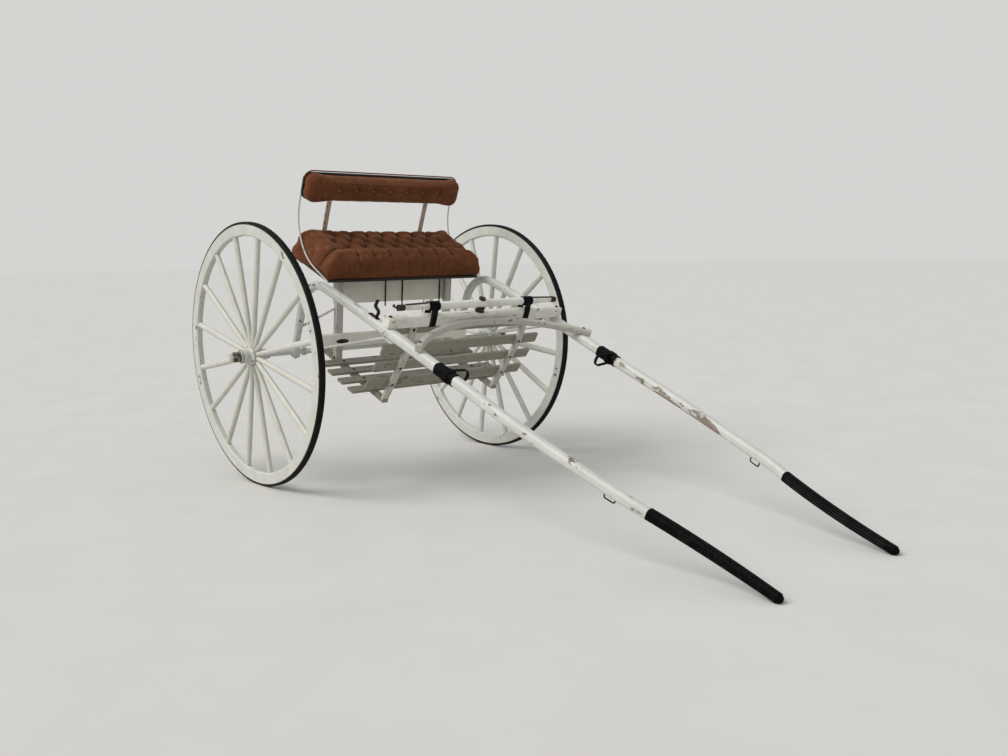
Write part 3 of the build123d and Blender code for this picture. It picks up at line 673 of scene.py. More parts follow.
def smooth(points: list, steps: int = 8, closed: bool = False) -> list[Vector]:
    """Return a smooth line through points.

    Args:
        points: places that the line goes through.
        steps: points for each span.
        closed: whether it returns to its start.

    Returns:
        The line's points.
    """
    held = [Vector(p) for p in points]
    count = len(held)
    line = []
    for i in range(count if closed else count - 1):
        if closed:
            a, b, c, d = (held[(i + k) % count] for k in (-1, 0, 1, 2))
        else:
            a, b, c, d = (held[min(max(i + k, 0), count - 1)] for k in (-1, 0, 1, 2))
        for step in range(steps):
            t = step / steps
            line.append(0.5 * (2 * b + (c - a) * t + (2 * a - 5 * b + 4 * c - d) * t**2
                               + (3 * b - a - 3 * c + d) * t**3))
    if not closed:
        line.append(held[-1])
    return line


def sweep(path: list, section: list[Pair], closed: bool = False, side: Point = (0, 0, 1)) -> Form:
    """Return a section carried along a path.

    Args:
        path: points of the path.
        section: outline as distances across and out, out along side.
        closed: whether the path returns to its start.
        side: direction that the section's second number follows.

    Returns:
        The swept form, with flat ends when it is open.
    """
    form = Form()
    points = [Vector(p) for p in path]
    count = len(points)
    size = len(section)
    for i, point in enumerate(points):
        if closed:
            ahead = points[(i + 1) % count] - points[i - 1]
        else:
            ahead = points[min(i + 1, count - 1)] - points[max(i - 1, 0)]
        ahead.normalize()
        across = ahead.cross(Vector(side))
        if across.length < 1e-4:
            across = ahead.cross(Vector((0, 1, 0)))
        across.normalize()
        out = across.cross(ahead)
        form.verts += [tuple(point + across * a + out * b) for a, b in section]
    for i in range(count if closed else count - 1):
        here, there = i * size, ((i + 1) % count) * size
        for k in range(size):
            m = (k + 1) % size
            form.faces.append((here + k, here + m, there + m, there + k))
    if not closed:
        form.faces += [tuple(range(size)), tuple(range((count - 1) * size, count * size))]
    return form


def polar(radius: float, turn: float, height: float) -> Point:
    """Return the point at a radius, a turn in degrees and a height."""
    return radius * math.cos(math.radians(turn)), radius * math.sin(math.radians(turn)), height


def place(name: str, data: bpy.types.ID) -> bpy.types.Object:
    """Return a new object in the scene, with its mesh, light or camera.

    Args:
        name: the object's name.
        data: its mesh, light or camera.

    Returns:
        The object.
    """
    obj = bpy.data.objects.new(name, data)
    bpy.context.scene.collection.objects.link(obj)
    return obj


def rounded(low: Pair, high: Pair, radius: float, steps: int = 6) -> list:
    """Return a rectangle's outline with round corners, from its lowest and highest corners.

    Args:
        low: the lowest corner.
        high: the highest corner.
        radius: of the corners.
        steps: spans in each corner.

    Returns:
        The outline's points, from the highest corner round.
    """
    centres = ((high[0] - radius, high[1] - radius, 0), (low[0] + radius, high[1] - radius, 90),
               (low[0] + radius, low[1] + radius, 180), (high[0] - radius, low[1] + radius, 270))
    turns = [(a, b, math.radians(start + 90 * i / steps)) for a, b, start in centres for i in range(steps + 1)]
    return [(a + radius * math.cos(t), b + radius * math.sin(t)) for a, b, t in turns]


def circle(radius: float, count: int = 10) -> list[Pair]:
    """Return a round section."""
    turns = [2 * math.pi * i / count for i in range(count)]
    return [(radius * math.cos(t), radius * math.sin(t)) for t in turns]


def strap(width: float, thick: float) -> list[Pair]:
    """Return a flat section with eased edges."""
    a, b, c = width / 2, thick / 2, min(width, thick) * 0.3
    return [(a - c, -b), (a, c - b), (a, b - c), (a - c, b), (c - a, b), (-a, b - c), (-a, c - b), (c - a, -b)]


def park(points: list) -> list[Vector]:
    """Return level-frame points, in metres, where the cart parks."""
    return [PARK @ Vector(p) for p in points]


def join(obj: bpy.types.Object, key: str, body: Body = Body.CART, smooth_angle: float = 40.0) -> bpy.types.Object:
    """Finish an object and tie it to its body.

    Args:
        obj: the object, in place.
        key: its finish.
        body: the body that it rides on.
        smooth_angle: edges sharper than this, in degrees, stay sharp.

    Returns:
        The same object.
    """
    obj.data.materials.clear()
    obj.data.materials.append(finish(key))
    obj.data.shade_smooth()
    obj.data.set_sharp_from_angle(angle=math.radians(smooth_angle))
    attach(obj, body.value)
    log.info("%s: %d faces on %s", obj.name, len(obj.data.polygons), body.value)
    return obj


def make(name: str, form: Form, key: str, body: Body = Body.CART, smooth_angle: float = 40.0) -> bpy.types.Object:
    """Turn a form into a finished piece of the object."""
    return join(place(name, form.mesh(name)), key, body, smooth_angle)


def apply_modifiers(obj: bpy.types.Object) -> None:
    """Apply the object's modifiers to its mesh.

    Args:
        obj: the object.
    """
    mesh = bpy.data.meshes.new_from_object(obj.evaluated_get(bpy.context.evaluated_depsgraph_get()))
    mesh.name = obj.name
    obj.modifiers.clear()
    old = obj.data
    obj.data = mesh
    bpy.data.meshes.remove(old)


@dataclass(frozen=True)
class Spot:
    """Where one repeated item sits: its place, the way its +Z points, its roll and its size."""

    at: Point
    axis: Point = (0, 0, 1)
    roll: float = 0.0
    size: float = 1.0

    def matrix(self) -> Matrix:
        """Return the item's turn."""
        turn = Vector(self.axis).to_track_quat("Z", "X").to_matrix().to_4x4()
        return turn @ Matrix.Rotation(self.roll, 4, "Z")


def repeat_tree() -> bpy.types.NodeTree:
    """Return the Geometry Nodes tree that sets one item on every point, by the point's turn and size.

    Returns:
        The tree, made on first use.
    """
    name = "items_on_points"
    if name in bpy.data.node_groups:
        return bpy.data.node_groups[name]
    tree = bpy.data.node_groups.new(name, "GeometryNodeTree")
    for socket, kind in (("Points", "Geometry"), ("Item", "Object"), ("Finish", "Material")):
        tree.interface.new_socket(socket, in_out="INPUT", socket_type="NodeSocket" + kind)
    tree.interface.new_socket("Result", in_out="OUTPUT", socket_type="NodeSocketGeometry")
    g = Graph(tree)
    given = g.add("NodeGroupInput").outputs
    item = g.add("GeometryNodeObjectInfo", {"Object": given["Item"]}).outputs["Geometry"]
    turn = g.add("GeometryNodeInputNamedAttribute", {"Name": "turn"}, data_type="FLOAT_VECTOR").outputs[0]
    size = g.add("GeometryNodeInputNamedAttribute", {"Name": "size"}, data_type="FLOAT").outputs[0]
    turn = g.add("FunctionNodeEulerToRotation", {0: turn}).outputs[0]
    spread = {"Points": given["Points"], "Instance": item, "Rotation": turn, "Scale": size}
    spread = g.add("GeometryNodeInstanceOnPoints", spread).outputs[0]
    solid = g.add("GeometryNodeRealizeInstances", {"Geometry": spread}).outputs[0]
    done = g.add("GeometryNodeSetMaterial", {"Geometry": solid, "Material": given["Finish"]}).outputs[0]
    g.add("NodeGroupOutput", {"Result": done})
    return tree


def repeat(name: str, item: Form, spots: list[Spot], key: str, body: Body = Body.CART) -> bpy.types.Object:
    """Make one piece of an item repeated at listed spots.

    Args:
        name: the piece's name.
        item: the form repeated, round +Z with its foot at the origin.
        spots: where each sits, in the part's frame.
        key: the finish.
        body: the body it rides on.

    Returns:
        The piece, as a plain mesh.
    """
    single = place(name + "_item", item.mesh(name + "_item"))
    points = bpy.data.meshes.new(name + "_points")
    points.from_pydata([tuple(s.at) for s in spots], [], [])
    turns = [angle for s in spots for angle in s.matrix().to_euler()]
    points.attributes.new("turn", "FLOAT_VECTOR", "POINT").data.foreach_set("vector", turns)
    points.attributes.new("size", "FLOAT", "POINT").data.foreach_set("value", [s.size for s in spots])
    obj = place(name, points)
    tree = repeat_tree()
    modifier = obj.modifiers.new("repeat", "NODES")
    modifier.node_group = tree
    ids = {s.name: s.identifier for s in tree.interface.items_tree if s.in_out == "INPUT"}
    modifier[ids["Item"]] = single
    modifier[ids["Finish"]] = finish(key)
    apply_modifiers(obj)
    bpy.data.objects.remove(single)
    return join(obj, key, body)


def bvh(obj: bpy.types.Object) -> BVHTree:
    """Return an object's surface, for nearest points and ray casts."""
    points = [obj.matrix_world @ v.co for v in obj.data.vertices]
    return BVHTree.FromPolygons(points, [tuple(f.vertices) for f in obj.data.polygons])


surfaces: dict[str, BVHTree] = {}


def on(node: str, places: list[Point], axis: Point, size: float = 1.0, along: Point | None = None) -> list[Spot]:
    """Return the spots where items meet a CAD node; a place that misses it is logged and left out.

    Args:
        node: the CAD node.
        places: level-frame points within 50 mm of its surface.
        axis: the way out of the surface.
        size: the items' scale.
        along: the way that the items' +X points, where it matters.

    Returns:
        The spots, in the part's frame.
    """
    if node not in surfaces:
        surfaces[node] = bvh(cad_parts[node])
    turn = PARK.to_3x3()
    out = (turn @ Vector(axis)).normalized()
    roll = 0.0
    if along:
        first = out.to_track_quat("Z", "X").to_matrix().col[0]
        ahead = turn @ Vector(along)
        roll = math.atan2(out.dot(first.cross(ahead)), first.dot(ahead))
    spots = []
    for at in places:
        hit = surfaces[node].ray_cast(PARK @ Vector(at) + RAY_START * out, -out, RAY_LENGTH)[0]
        if hit is None:
            log.warning("no surface of %s at %s", node, at)
        else:
            spots.append(Spot(tuple(hit), tuple(out), roll, size))
    return spots


def both(u: float, y: float, w: float) -> list[Point]:
    """Return a level-frame place and its twin on the other side."""
    return [(u, y, w), (u, -y, w)]


def wheel_matrix(side: str) -> Matrix:
    """Return the matrix from a wheel drawn round +Z, face outward, to its place.

    Args:
        side: left or right.

    Returns:
        The matrix.
    """
    sign = SIGNS[side]
    there = Matrix.Translation((AXLE_X, sign * TRACK / 2, AXLE_Z)) @ Matrix.Rotation(-sign * CAMBER, 4, "X")
    return there @ Matrix.Rotation(-sign * math.pi / 2, 4, "X")


# Outlines of the small turned things, as radius and height in metres; the oval plate's radius is a share.
DOME = [(0.0062, 0.0), (0.0062, 0.0008), (0.0058, 0.0020), (0.0044, 0.0034), (0.0022, 0.0042), (0.0, 0.0044)]
RIVET = [(0.0042, 0.0), (0.0041, 0.0010), (0.0034, 0.0022), (0.0018, 0.0030), (0.0, 0.0032)]
BUTTON = [(0.0, -0.003), (0.0088, -0.003), (0.0098, 0.0005), (0.0086, 0.0035), (0.0055, 0.0054),
          (0.0025, 0.0060), (0.0, 0.0061)]
OVAL_PLATE = [(1.0, 0.0), (1.0, 0.0020), (0.90, 0.0034), (0.0, 0.0036)]
BOLT_WASHER = [(0.0090, 0.0), (0.0090, 0.0010), (0.0064, 0.0012), (0.0, 0.0012)]
NUT_WASHER = [(0.0105, 0.0), (0.0105, 0.0014), (0.0, 0.0014)]
BOLT_END = [(0.0042, 0.0078), (0.0042, 0.0108), (0.0034, 0.0115), (0.0, 0.0115)]
STITCH = [(0.0, -0.0021), (0.0007, -0.0016), (0.0008, 0.0), (0.0007, 0.0016), (0.0, 0.0021)]


def bolt_form() -> Form:
    """Return a carriage bolt's dome on a thin washer."""
    return lathe(BOLT_WASHER, 28).add(lathe(DOME, 28), Matrix.Translation((0, 0, 0.0011)))


def stitch_form() -> Form:
    """Return one stitch, lying along +X."""
    return Form().add(lathe(STITCH, 6), Matrix.Rotation(math.pi / 2, 4, "Y"))


def nut_form() -> Form:
    """Return a square nut on its bolt's end, over a washer.

    Returns:
        The form round +Z, its foot at the origin.
    """
    half, foot, shoulder, top = 0.0074, 0.0014, 0.0072, 0.0080
    corners = [(half, half), (-half, half), (-half, -half), (half, -half)]
    rings = ((foot, 1.0), (shoulder, 1.0), (top, 0.86))
    nut = Form([(share * x, share * y, z) for z, share in rings for x, y in corners])
    nut.faces = [(low + i, low + (i + 1) % 4, low + 4 + (i + 1) % 4, low + 4 + i) for low in (0, 4) for i in range(4)]
    nut.faces += [(3, 2, 1, 0), (8, 9, 10, 11)]
    return lathe(NUT_WASHER, 24).add(nut).add(lathe(BOLT_END, 16))


@dataclass
class Wheel:
    """Small work on one wheel: hub rivets and grooves, rim channel, joint plates and their bolts."""

    side: str
    rivets: int = 8
    rivet_r: float = 0.0425
    flange_face: float = 0.019
    grooves: tuple[float, ...] = (0.0450, 0.0525, 0.0600)
    groove_section: tuple[Pair, ...] = ((0.0268, -0.0012), (0.0308, -0.0008), (0.0308, 0.0008),
                                        (0.0268, 0.0012), (0.0268, -0.0012))
    channel_radii: Pair = (0.5868, 0.5925)
    channel_faces: Pair = (0.0131, 0.0143)
    plate_r: float = 0.561
    plate_face: float = 0.0156
    plate_turns: tuple[float, ...] = (-2.6, -2.0, -1.0, 0.0, 1.0, 2.0, 2.6)
    plate_bolts: tuple[float, ...] = (-1.7, 1.7)
    plate_section: Pair = (0.022, 0.0016)
    plate_bolt_lift: float = 0.0006
    joint_turns: tuple[float, ...] = (196, 16)

    def spots(self, places: list[Point]) -> list[Spot]:
        """Return outward spots for places given as radius, turn in degrees and height, in the wheel's frame.

        Args:
            places: radius, turn in degrees and height of each.

        Returns:
            Spots that face away from the wheel's plane.
        """
        there = wheel_matrix(self.side)
        turn = there.to_3x3()
        return [Spot(there @ Vector(polar(*at)), turn @ Vector((0, 0, math.copysign(1, at[2])))) for at in places]

    def build(self) -> None:
        """Make the wheel's pieces."""
        body = Body(f"wheel_{self.side}")
        there = wheel_matrix(self.side)
        faces = (1, -1)
        places = [(self.rivet_r, 360 * (i + 0.5) / self.rivets, face * self.flange_face)
                  for i in range(self.rivets) for face in faces]
        repeat(f"hub_rivets_{self.side}", lathe(RIVET, 16), self.spots(places), "hub", body)
        grooves, channel, plates = Form(), Form(), Form()
        for height in self.grooves:
            grooves.add(lathe([(r, height + z) for r, z in self.groove_section], 40), there)
        make(f"hub_grooves_{self.side}", grooves, "black_iron", body)
        inner, outer = self.channel_radii
        for face in faces:
            low, high = (face * z for z in self.channel_faces)
            channel.add(lathe([(inner, low), (outer, low), (outer, high), (inner, high), (inner, low)], 192), there)
        make(f"rim_channel_{self.side}", channel, "rusty_iron", body, 30.0)
        bolts = []
        for turn in self.joint_turns:
            for face in faces:
                path = [polar(self.plate_r, turn + step, face * self.plate_face) for step in self.plate_turns]
                plates.add(sweep(path, strap(*self.plate_section)), there)
                lift = self.plate_face + self.plate_bolt_lift
                bolts += [(self.plate_r, turn + step, face * lift) for step in self.plate_bolts]
        make(f"joint_plates_{self.side}", plates, "iron", body)
        repeat(f"joint_bolts_{self.side}", lathe(RIVET, 16), self.spots(bolts), "rusty_iron", body)


def read(mesh: bpy.types.Mesh, kind: str = "co") -> np.ndarray:
    """Return the vertices' places, or another value of three numbers, as rows.

    Args:
        mesh: the mesh.
        kind: co or normal.

    Returns:
        One row for each vertex.
    """
    rows = np.empty(len(mesh.vertices) * 3)
    mesh.vertices.foreach_get(kind, rows)
    return rows.reshape(-1, 3)


def write(mesh: bpy.types.Mesh, points: np.ndarray) -> None:
    """Give a mesh new points."""
    mesh.vertices.foreach_set("co", points.astype(np.float32).ravel())
    mesh.update()


def ease(share: np.ndarray) -> np.ndarray:
    """Return a soft step from 0 to 1 for shares from 0 to 1."""
    held = np.clip(share, 0.0, 1.0)
    return held**2 * (3 - 2 * held)


@dataclass(frozen=True)
class Crease:
    """A crease or seam in a cushion: its line over the surface, depth and reach in metres."""

    line: tuple[Point, ...]
    depth: float
    reach: float


@dataclass(frozen=True)
class Sunk:
    """A field of a cushion's top that lies below the rolls round it."""

    front: float
    back: float
    half_y: float
    depth: float
    fall: float
    ramp: float = 0.032
    roll: float = 0.06

    def drop(self, points: np.ndarray) -> np.ndarray:
        """Return how far each point of the top lies below the level of the rear roll.

        Args:
            points: the cushion's points.

        Returns:
            The drop of each, in metres.
        """
        u, y, _ = points.T
        share = ease((self.front - u) / self.ramp) * ease((u - self.back) / self.ramp)
        share *= ease((self.half_y - np.abs(y)) / self.ramp)
        return self.depth * share + self.fall * ease((u - self.back) / (self.front + self.roll - self.back))


@dataclass(frozen=True)
class Skirt:
    """How a cushion's foot spreads: out to the sides, back and front below top_w, and down over the board's edge."""

    top_w: float = 0.470
    ramp: float = 0.05
    aside: float = 0.017
    aside_y: float = 0.36
    back: float = 0.010
    back_u: float = -0.19
    back_ramp: float = 0.04
    ahead: float = 0.006
    ahead_u: float = 0.05
    ahead_ramp: float = 0.03
    hang: float = 0.015
    hang_w: float = 0.425
    hang_ramp: float = 0.025
    hang_u: float = -0.10


@dataclass
class Cushion:
    """A buttoned velvet cushion, filled by a cloth simulation and then drawn in along its creases.

    It lies on the face named by rests, as axis and sign. Its sides stay within keep_y, and away from the side rail
    they swell past it by bulge.
    """

    name: str
    node: str
    low: Point
    high: Point
    corner: float
    creases: list[Crease]
    buttons: list[Point]
    button_axis: Point
    rests: tuple[int, int]
    keep_y: float
    cap: float = 0.012
    shrink: float = 0.006
    voxel: float = 0.0062
    button_depth: float = 0.020
    button_reach: float = 0.017
    # reach of the painted shade round each button
    button_shade_reach: float = 0.016
    plan_corner: float = 0.0
    fill: float = 0.8
    sunk: Sunk | None = None
    skirt: Skirt = Skirt()
    rail: tuple[Point, ...] = ()
    rail_gap: float = 0.009
    rail_ramp: float = 0.034
    bulge: float = 0.0
    overhang: float = 0.014
    overhang_u: float = -0.12
    edge_gap: float = 0.003
    crease_steps: int = 10
    near_creases: int = 6
    # crease depth at which the painted shade is full
    full_shade_depth: float = 0.012
    foot: float = 0.004
    smoothing: int = 3
    button_ray: float = 0.08
    button_lift: float = 0.0015

    def start(self) -> bpy.types.Object:
        """Return the closed rounded form that the simulation fills.

        Returns:
            The cushion's object.
        """
        low, high = Vector(self.low), Vector(self.high)
        axis, sign = self.rests
        for k in range(3):
            low[k] += 0.0 if (k, -1) == self.rests else self.shrink
            high[k] -= 0.0 if (k, 1) == self.rests else self.shrink
        work = bmesh.new()
        bmesh.ops.create_cube(work, size=1.0)
        for v in work.verts:
            v.co = [low[k] if v.co[k] < 0 else high[k] for k in range(3)]

        def bevel(edges: list, offset: float) -> None:
            """Round some edges of the block."""
            bmesh.ops.bevel(work, geom=edges, offset=offset, segments=8, affect="EDGES", profile=0.5)

        bevel([e for e in work.edges if abs((e.verts[0].co - e.verts[1].co)[axis]) > 1e-6], self.plan_corner)
        far = high[axis] if sign < 0 else low[axis]
        bevel([e for e in work.edges if all(abs(v.co[axis] - far) < 1e-6 for v in e.verts) and not e.is_wire],
              self.corner)
        mesh = bpy.data.meshes.new(self.name)
        work.to_mesh(mesh)
        work.free()
        obj = place(self.name, mesh)
        remesh = obj.modifiers.new("remesh", "REMESH")
        remesh.mode = "VOXEL"
        remesh.voxel_size = self.voxel
        apply_modifiers(obj)
        return obj

    def inflate(self, obj: bpy.types.Object) -> None:
        """Fill the cushion by cloth pressure, with each point's move capped.

        Args:
            obj: the cushion.
        """
        rest = read(obj.data)
        settings = obj.modifiers.new("cloth", "CLOTH").settings
        settings.effector_weights.gravity = 0.0
        for key, value in CLOTH.items():
            setattr(settings, key, value)
        for number in range(1, CLOTH_STEPS + 1):
            bpy.context.scene.frame_set(number)
        apply_modifiers(obj)
        bpy.context.scene.frame_set(1)
        moved = read(obj.data) - rest
        length = np.linalg.norm(moved, axis=1, keepdims=True)
        moved *= np.minimum(1.0, self.cap / np.maximum(length, 1e-9))
        write(obj.data, rest + moved)

    def pull(self, obj: bpy.types.Object) -> None:
        """Draw the surface in along the creases and under the buttons, and store a painted-shade mask that darkens
        the velvet there.

        Args:
            obj: the cushion.
        """
        points = read(obj.data)
        surface = bvh(obj)
        samples = [(surface.find_nearest(spot)[0], crease)
                   for crease in self.creases for spot in smooth(crease.line, self.crease_steps)]
        tree = kdtree.KDTree(len(samples))
        for i, (spot, _) in enumerate(samples):
            tree.insert(spot, i)
        tree.balance()
        depth = np.zeros(len(points))
        fold = np.zeros(len(points))
        for i, point in enumerate(points):
            for _, index, distance in tree.find_n(point, self.near_creases):
                crease = samples[index][1]
                near = max(0.0, 1.0 - distance / crease.reach)
                dip = crease.depth * (1.0 - math.sqrt(max(0.0, 1.0 - near**2)))
                if dip > depth[i]:
                    depth[i] = dip
                    fold[i] = near**3 * min(1.0, crease.depth / self.full_shade_depth)
        for spot in self.buttons:
            held = np.array(surface.find_nearest(Vector(spot))[0])
            away = np.linalg.norm(points - held, axis=1)
            pit = np.exp(-((away / self.button_reach) ** 2))
            depth = np.maximum(depth, self.button_depth * pit + depth * (1 - pit))
            fold = np.maximum(fold, np.exp(-((away / self.button_shade_reach) ** 2)))
        side, sign = self.rests
        gap = points[:, side] - self.low[side] if sign < 0 else self.high[side] - points[:, side]
        depth[gap < self.foot] = 0.0
        inward = -0.5 * (read(obj.data, "normal") + np.array(self.button_axis))
        write(obj.data, points + inward * depth[:, None])
        # painted shade: store the mask that the velvet darkens by, 1 at a crease's bottom and at a button
        values = obj.data.attributes.new("fold", "FLOAT", "POINT")
        values.data.foreach_set("value", fold.astype(np.float32))

    def hold(self, obj: bpy.types.Object) -> None:
        """Keep the cushion off its board and inside the side rails.

        Args:
            obj: the cushion.
        """
        points = read(obj.data)
        axis, sign = self.rests
        if sign < 0:
            over = (np.abs(points[:, 1]) > self.keep_y + self.edge_gap) & (points[:, 0] < self.overhang_u)
            points[:, axis] = np.maximum(points[:, axis], self.low[axis] - np.where(over, self.overhang, 0.0))
        else:
            points[:, axis] = np.minimum(points[:, axis], self.high[axis])
        limit = np.full(len(points), self.keep_y)
        if self.rail:
            line = np.array([(p[0], p[2]) for p in smooth(self.rail, 5)])
            away = np.min(np.linalg.norm(points[:, None, [0, 2]] - line[None], axis=2), axis=1)
            limit += self.bulge * ease((away - self.rail_gap) / self.rail_ramp)
        points[:, 1] = np.clip(points[:, 1], -limit, limit)
        write(obj.data, points)

    def sink(self, obj: bpy.types.Object) -> None:
        """Lower the buttoned field and the front, and hang the rear corners over the board's edges.

        Args:
            obj: the cushion.
        """
        points = read(obj.data)
        u, y, w = points.T
        w -= np.clip((w - self.low[2]) / (self.high[2] - self.low[2]), 0.0, 1.0) * self.sunk.drop(points)
        skirt = self.skirt
        foot = ease((skirt.top_w - w) / skirt.ramp)
        y += np.sign(y) * skirt.aside * foot * ease((np.abs(y) - skirt.aside_y) / skirt.ramp)
        u -= skirt.back * foot * ease((skirt.back_u - u) / skirt.back_ramp)
        u += skirt.ahead * foot * ease((u - skirt.ahead_u) / skirt.ahead_ramp)
        hang = ease((skirt.hang_w - w) / skirt.hang_ramp) * ease((skirt.hang_u - u) / skirt.ramp)
        w -= np.where(np.abs(y) > self.keep_y + self.edge_gap, skirt.hang * hang, 0.0)
        write(obj.data, points)

    def build(self) -> None:
        """Make the cushion and its buttons."""
        obj = self.start()
        self.inflate(obj)
        self.hold(obj)
        obj.modifiers.new("smooth", "SMOOTH").iterations = self.smoothing
        obj.modifiers.new("subdivide", "SUBSURF").levels = 1
        apply_modifiers(obj)
        if self.sunk:
            self.sink(obj)
        self.pull(obj)
        self.hold(obj)
        surface = bvh(obj)
        axis = Vector(self.button_axis)
        spots = []
        for at in self.buttons:
            hit = surface.ray_cast(Vector(at) + self.button_ray * axis, -axis)[0] or Vector(at)
            spots.append(Spot(PARK @ (hit + self.button_lift * axis), PARK.to_3x3() @ axis))
        write(obj.data, np.array([tuple(PARK @ v.co) for v in obj.data.vertices]))
        join(obj, "velvet", smooth_angle=60.0)
        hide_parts(self.node)
        repeat(self.name + "_buttons", lathe(BUTTON, 20), spots, "button")


@dataclass
class Seat:
    """Seat cushion in three staggered rows of buttons, and the piping round its foot."""

    front_u: float = 0.096
    back_u: float = -0.243
    half_y: float = 0.446
    base_w: float = 0.3953
    top_w: float = 0.524
    pitch: float = 0.090
    spread: float = 1.02
    rows: tuple[float, ...] = (-0.040, -0.098, -0.156)
    button_w: float = 0.505
    piping_half_y: float = 0.4325
    piping_w: float = 0.3975
    rail: tuple[Point, ...] = ((0.090, 0, 0.390), (-0.034, 0, 0.4065), (-0.10, 0, 0.425), (-0.155, 0, 0.460),
                               (-0.20, 0, 0.510), (-0.235, 0, 0.575))

    def rows_of_buttons(self) -> list[list[Point]]:
        """Return the button places row by row, front first; the middle row is staggered and longer.

        Returns:
            The rows.
        """
        counts = (7, 8, 7)
        return [[(u, self.pitch * (i - (count - 1) / 2), self.button_w) for i in range(count)]
                for u, count in zip(self.rows, counts)]

    def creases(self) -> list[Crease]:
        """Return the folds between the buttons and the pleats from them to the edges.

        Returns:
            The creases.
        """
        front, middle, back = self.rows_of_buttons()
        found = [Crease((a, b), 0.013, 0.032) for a in front + back for b in middle
                 if abs(a[1] - b[1]) < 0.6 * self.pitch]
        for button in front:
            y, out = button[1], self.spread * button[1]
            found.append(Crease((button, (0.0, y, 0.510), (0.05, out, 0.50)), 0.016, 0.043))
            foot = ((0.05, out, 0.50), (0.080, out, 0.48), (0.1, out, 0.44), (0.1, out, 0.42))
            found.append(Crease(foot, 0.006, 0.036))
        for button in back:
            y, out = button[1], self.spread * button[1]
            found.append(Crease((button, (-0.19, y, 0.525), (-0.228, out, 0.515), (-0.245, out, 0.47)), 0.010, 0.036))
        side_pleats = (
            (middle, ((self.rows[1], 0.40, 0.52), (self.rows[1], 0.45, 0.49)), 0.007, 0.04),
            (front, ((0.0, 0.37, 0.525), (0.012, 0.43, 0.50), (0.02, 0.45, 0.45)), 0.016, 0.045),
            (back, ((-0.21, 0.35, 0.522), (-0.235, 0.41, 0.50), (-0.24, 0.43, 0.45)), 0.010, 0.04),
        )
        for sign in (1, -1):
            for row, line, depth, reach in side_pleats:
                button = row[-1] if sign > 0 else row[0]
                found.append(Crease((button, *((u, sign * y, w) for u, y, w in line)), depth, reach))
        return found

    def build(self) -> None:
        """Make the cushion and the piping."""
        buttons = [spot for row in self.rows_of_buttons() for spot in row]
        field = Sunk(front=0.006, back=-0.192, half_y=0.365, depth=0.013, fall=0.020)
        Cushion("seat_velvet", "seat_cushion", (self.back_u, -self.half_y, self.base_w),
                (self.front_u, self.half_y, self.top_w), 0.055, self.creases(), buttons, UP, (2, -1), 0.4345,
                plan_corner=0.022, shrink=0.002, sunk=field, rail=self.rail, bulge=0.020).build()
        outline = rounded((self.back_u, -self.piping_half_y), (self.front_u - 0.003, self.piping_half_y), 0.020)
        path = park([(u, y, self.piping_w) for u, y in outline])
        make("seat_piping", sweep(path, circle(0.0024, 8), True), "piping")


@dataclass
class BackRest:
    """Back cushion with one row of buttons, the piping along its top in a lighter colour as a painted highlight, and
    the screws of its irons.
    """

    half_y: float = 0.4495
    far_y: float = 0.4395
    low_w: float = 0.657
    high_w: float = 0.800
    back_u: float = -0.2367
    front_u: float = -0.178
    pitch: float = 0.096
    button_at: Pair = (-0.18, 0.730)
    pleats: tuple[tuple[int, float], ...] = ((1, 0.0022), (-1, 0.0032))
    piping_u: float = -0.2415
    piping_corners: tuple[Pair, ...] = ((-0.447, 0.655), (0.447, 0.800))
    pleat_line: tuple[Pair, ...] = ((0.002, 0.035), (-0.012, 0.064))
    screw_at: Pair = (-0.253, 0.283)
    screw_ws: tuple[float, ...] = (0.372, 0.352, 0.69, 0.745)

    def build(self) -> None:
        """Make the cushion, piping and screws."""
        u, w = self.button_at
        buttons = [(u, self.pitch * (i - 3), w) for i in range(7)]
        creases = [Crease(tuple(buttons), 0.006, 0.028)]
        for button in buttons:
            for way, depth in self.pleats:
                line = [(u + ahead, button[1], w + way * up) for ahead, up in self.pleat_line]
                creases.append(Crease((button, *line), depth, 0.030))
        Cushion("back_velvet", "back_cushion", (self.back_u, -self.half_y, self.low_w),
                (self.front_u, self.far_y, self.high_w), 0.030, creases, buttons, AHEAD, (0, -1), 0.452,
                plan_corner=0.046, button_depth=0.013, fill=0.85, shrink=0.0015).build()
        top = rounded(*self.piping_corners, 0.046)[:14]
        path = park([(self.piping_u, y, w) for y, w in top])
        # the piping's lighter colour is a painted highlight along the cushion's lit top edge
        make("back_piping", sweep(path, circle(0.0030, 8), side=AHEAD), "back_piping_highlight")
        screw_u, screw_y = self.screw_at
        places = [(screw_u, sign * screw_y, w) for sign in (1, -1) for w in self.screw_ws]
        repeat("back_iron_bolts", bolt_form(), on("back_irons", places, BEHIND, 0.8), "back_iron")


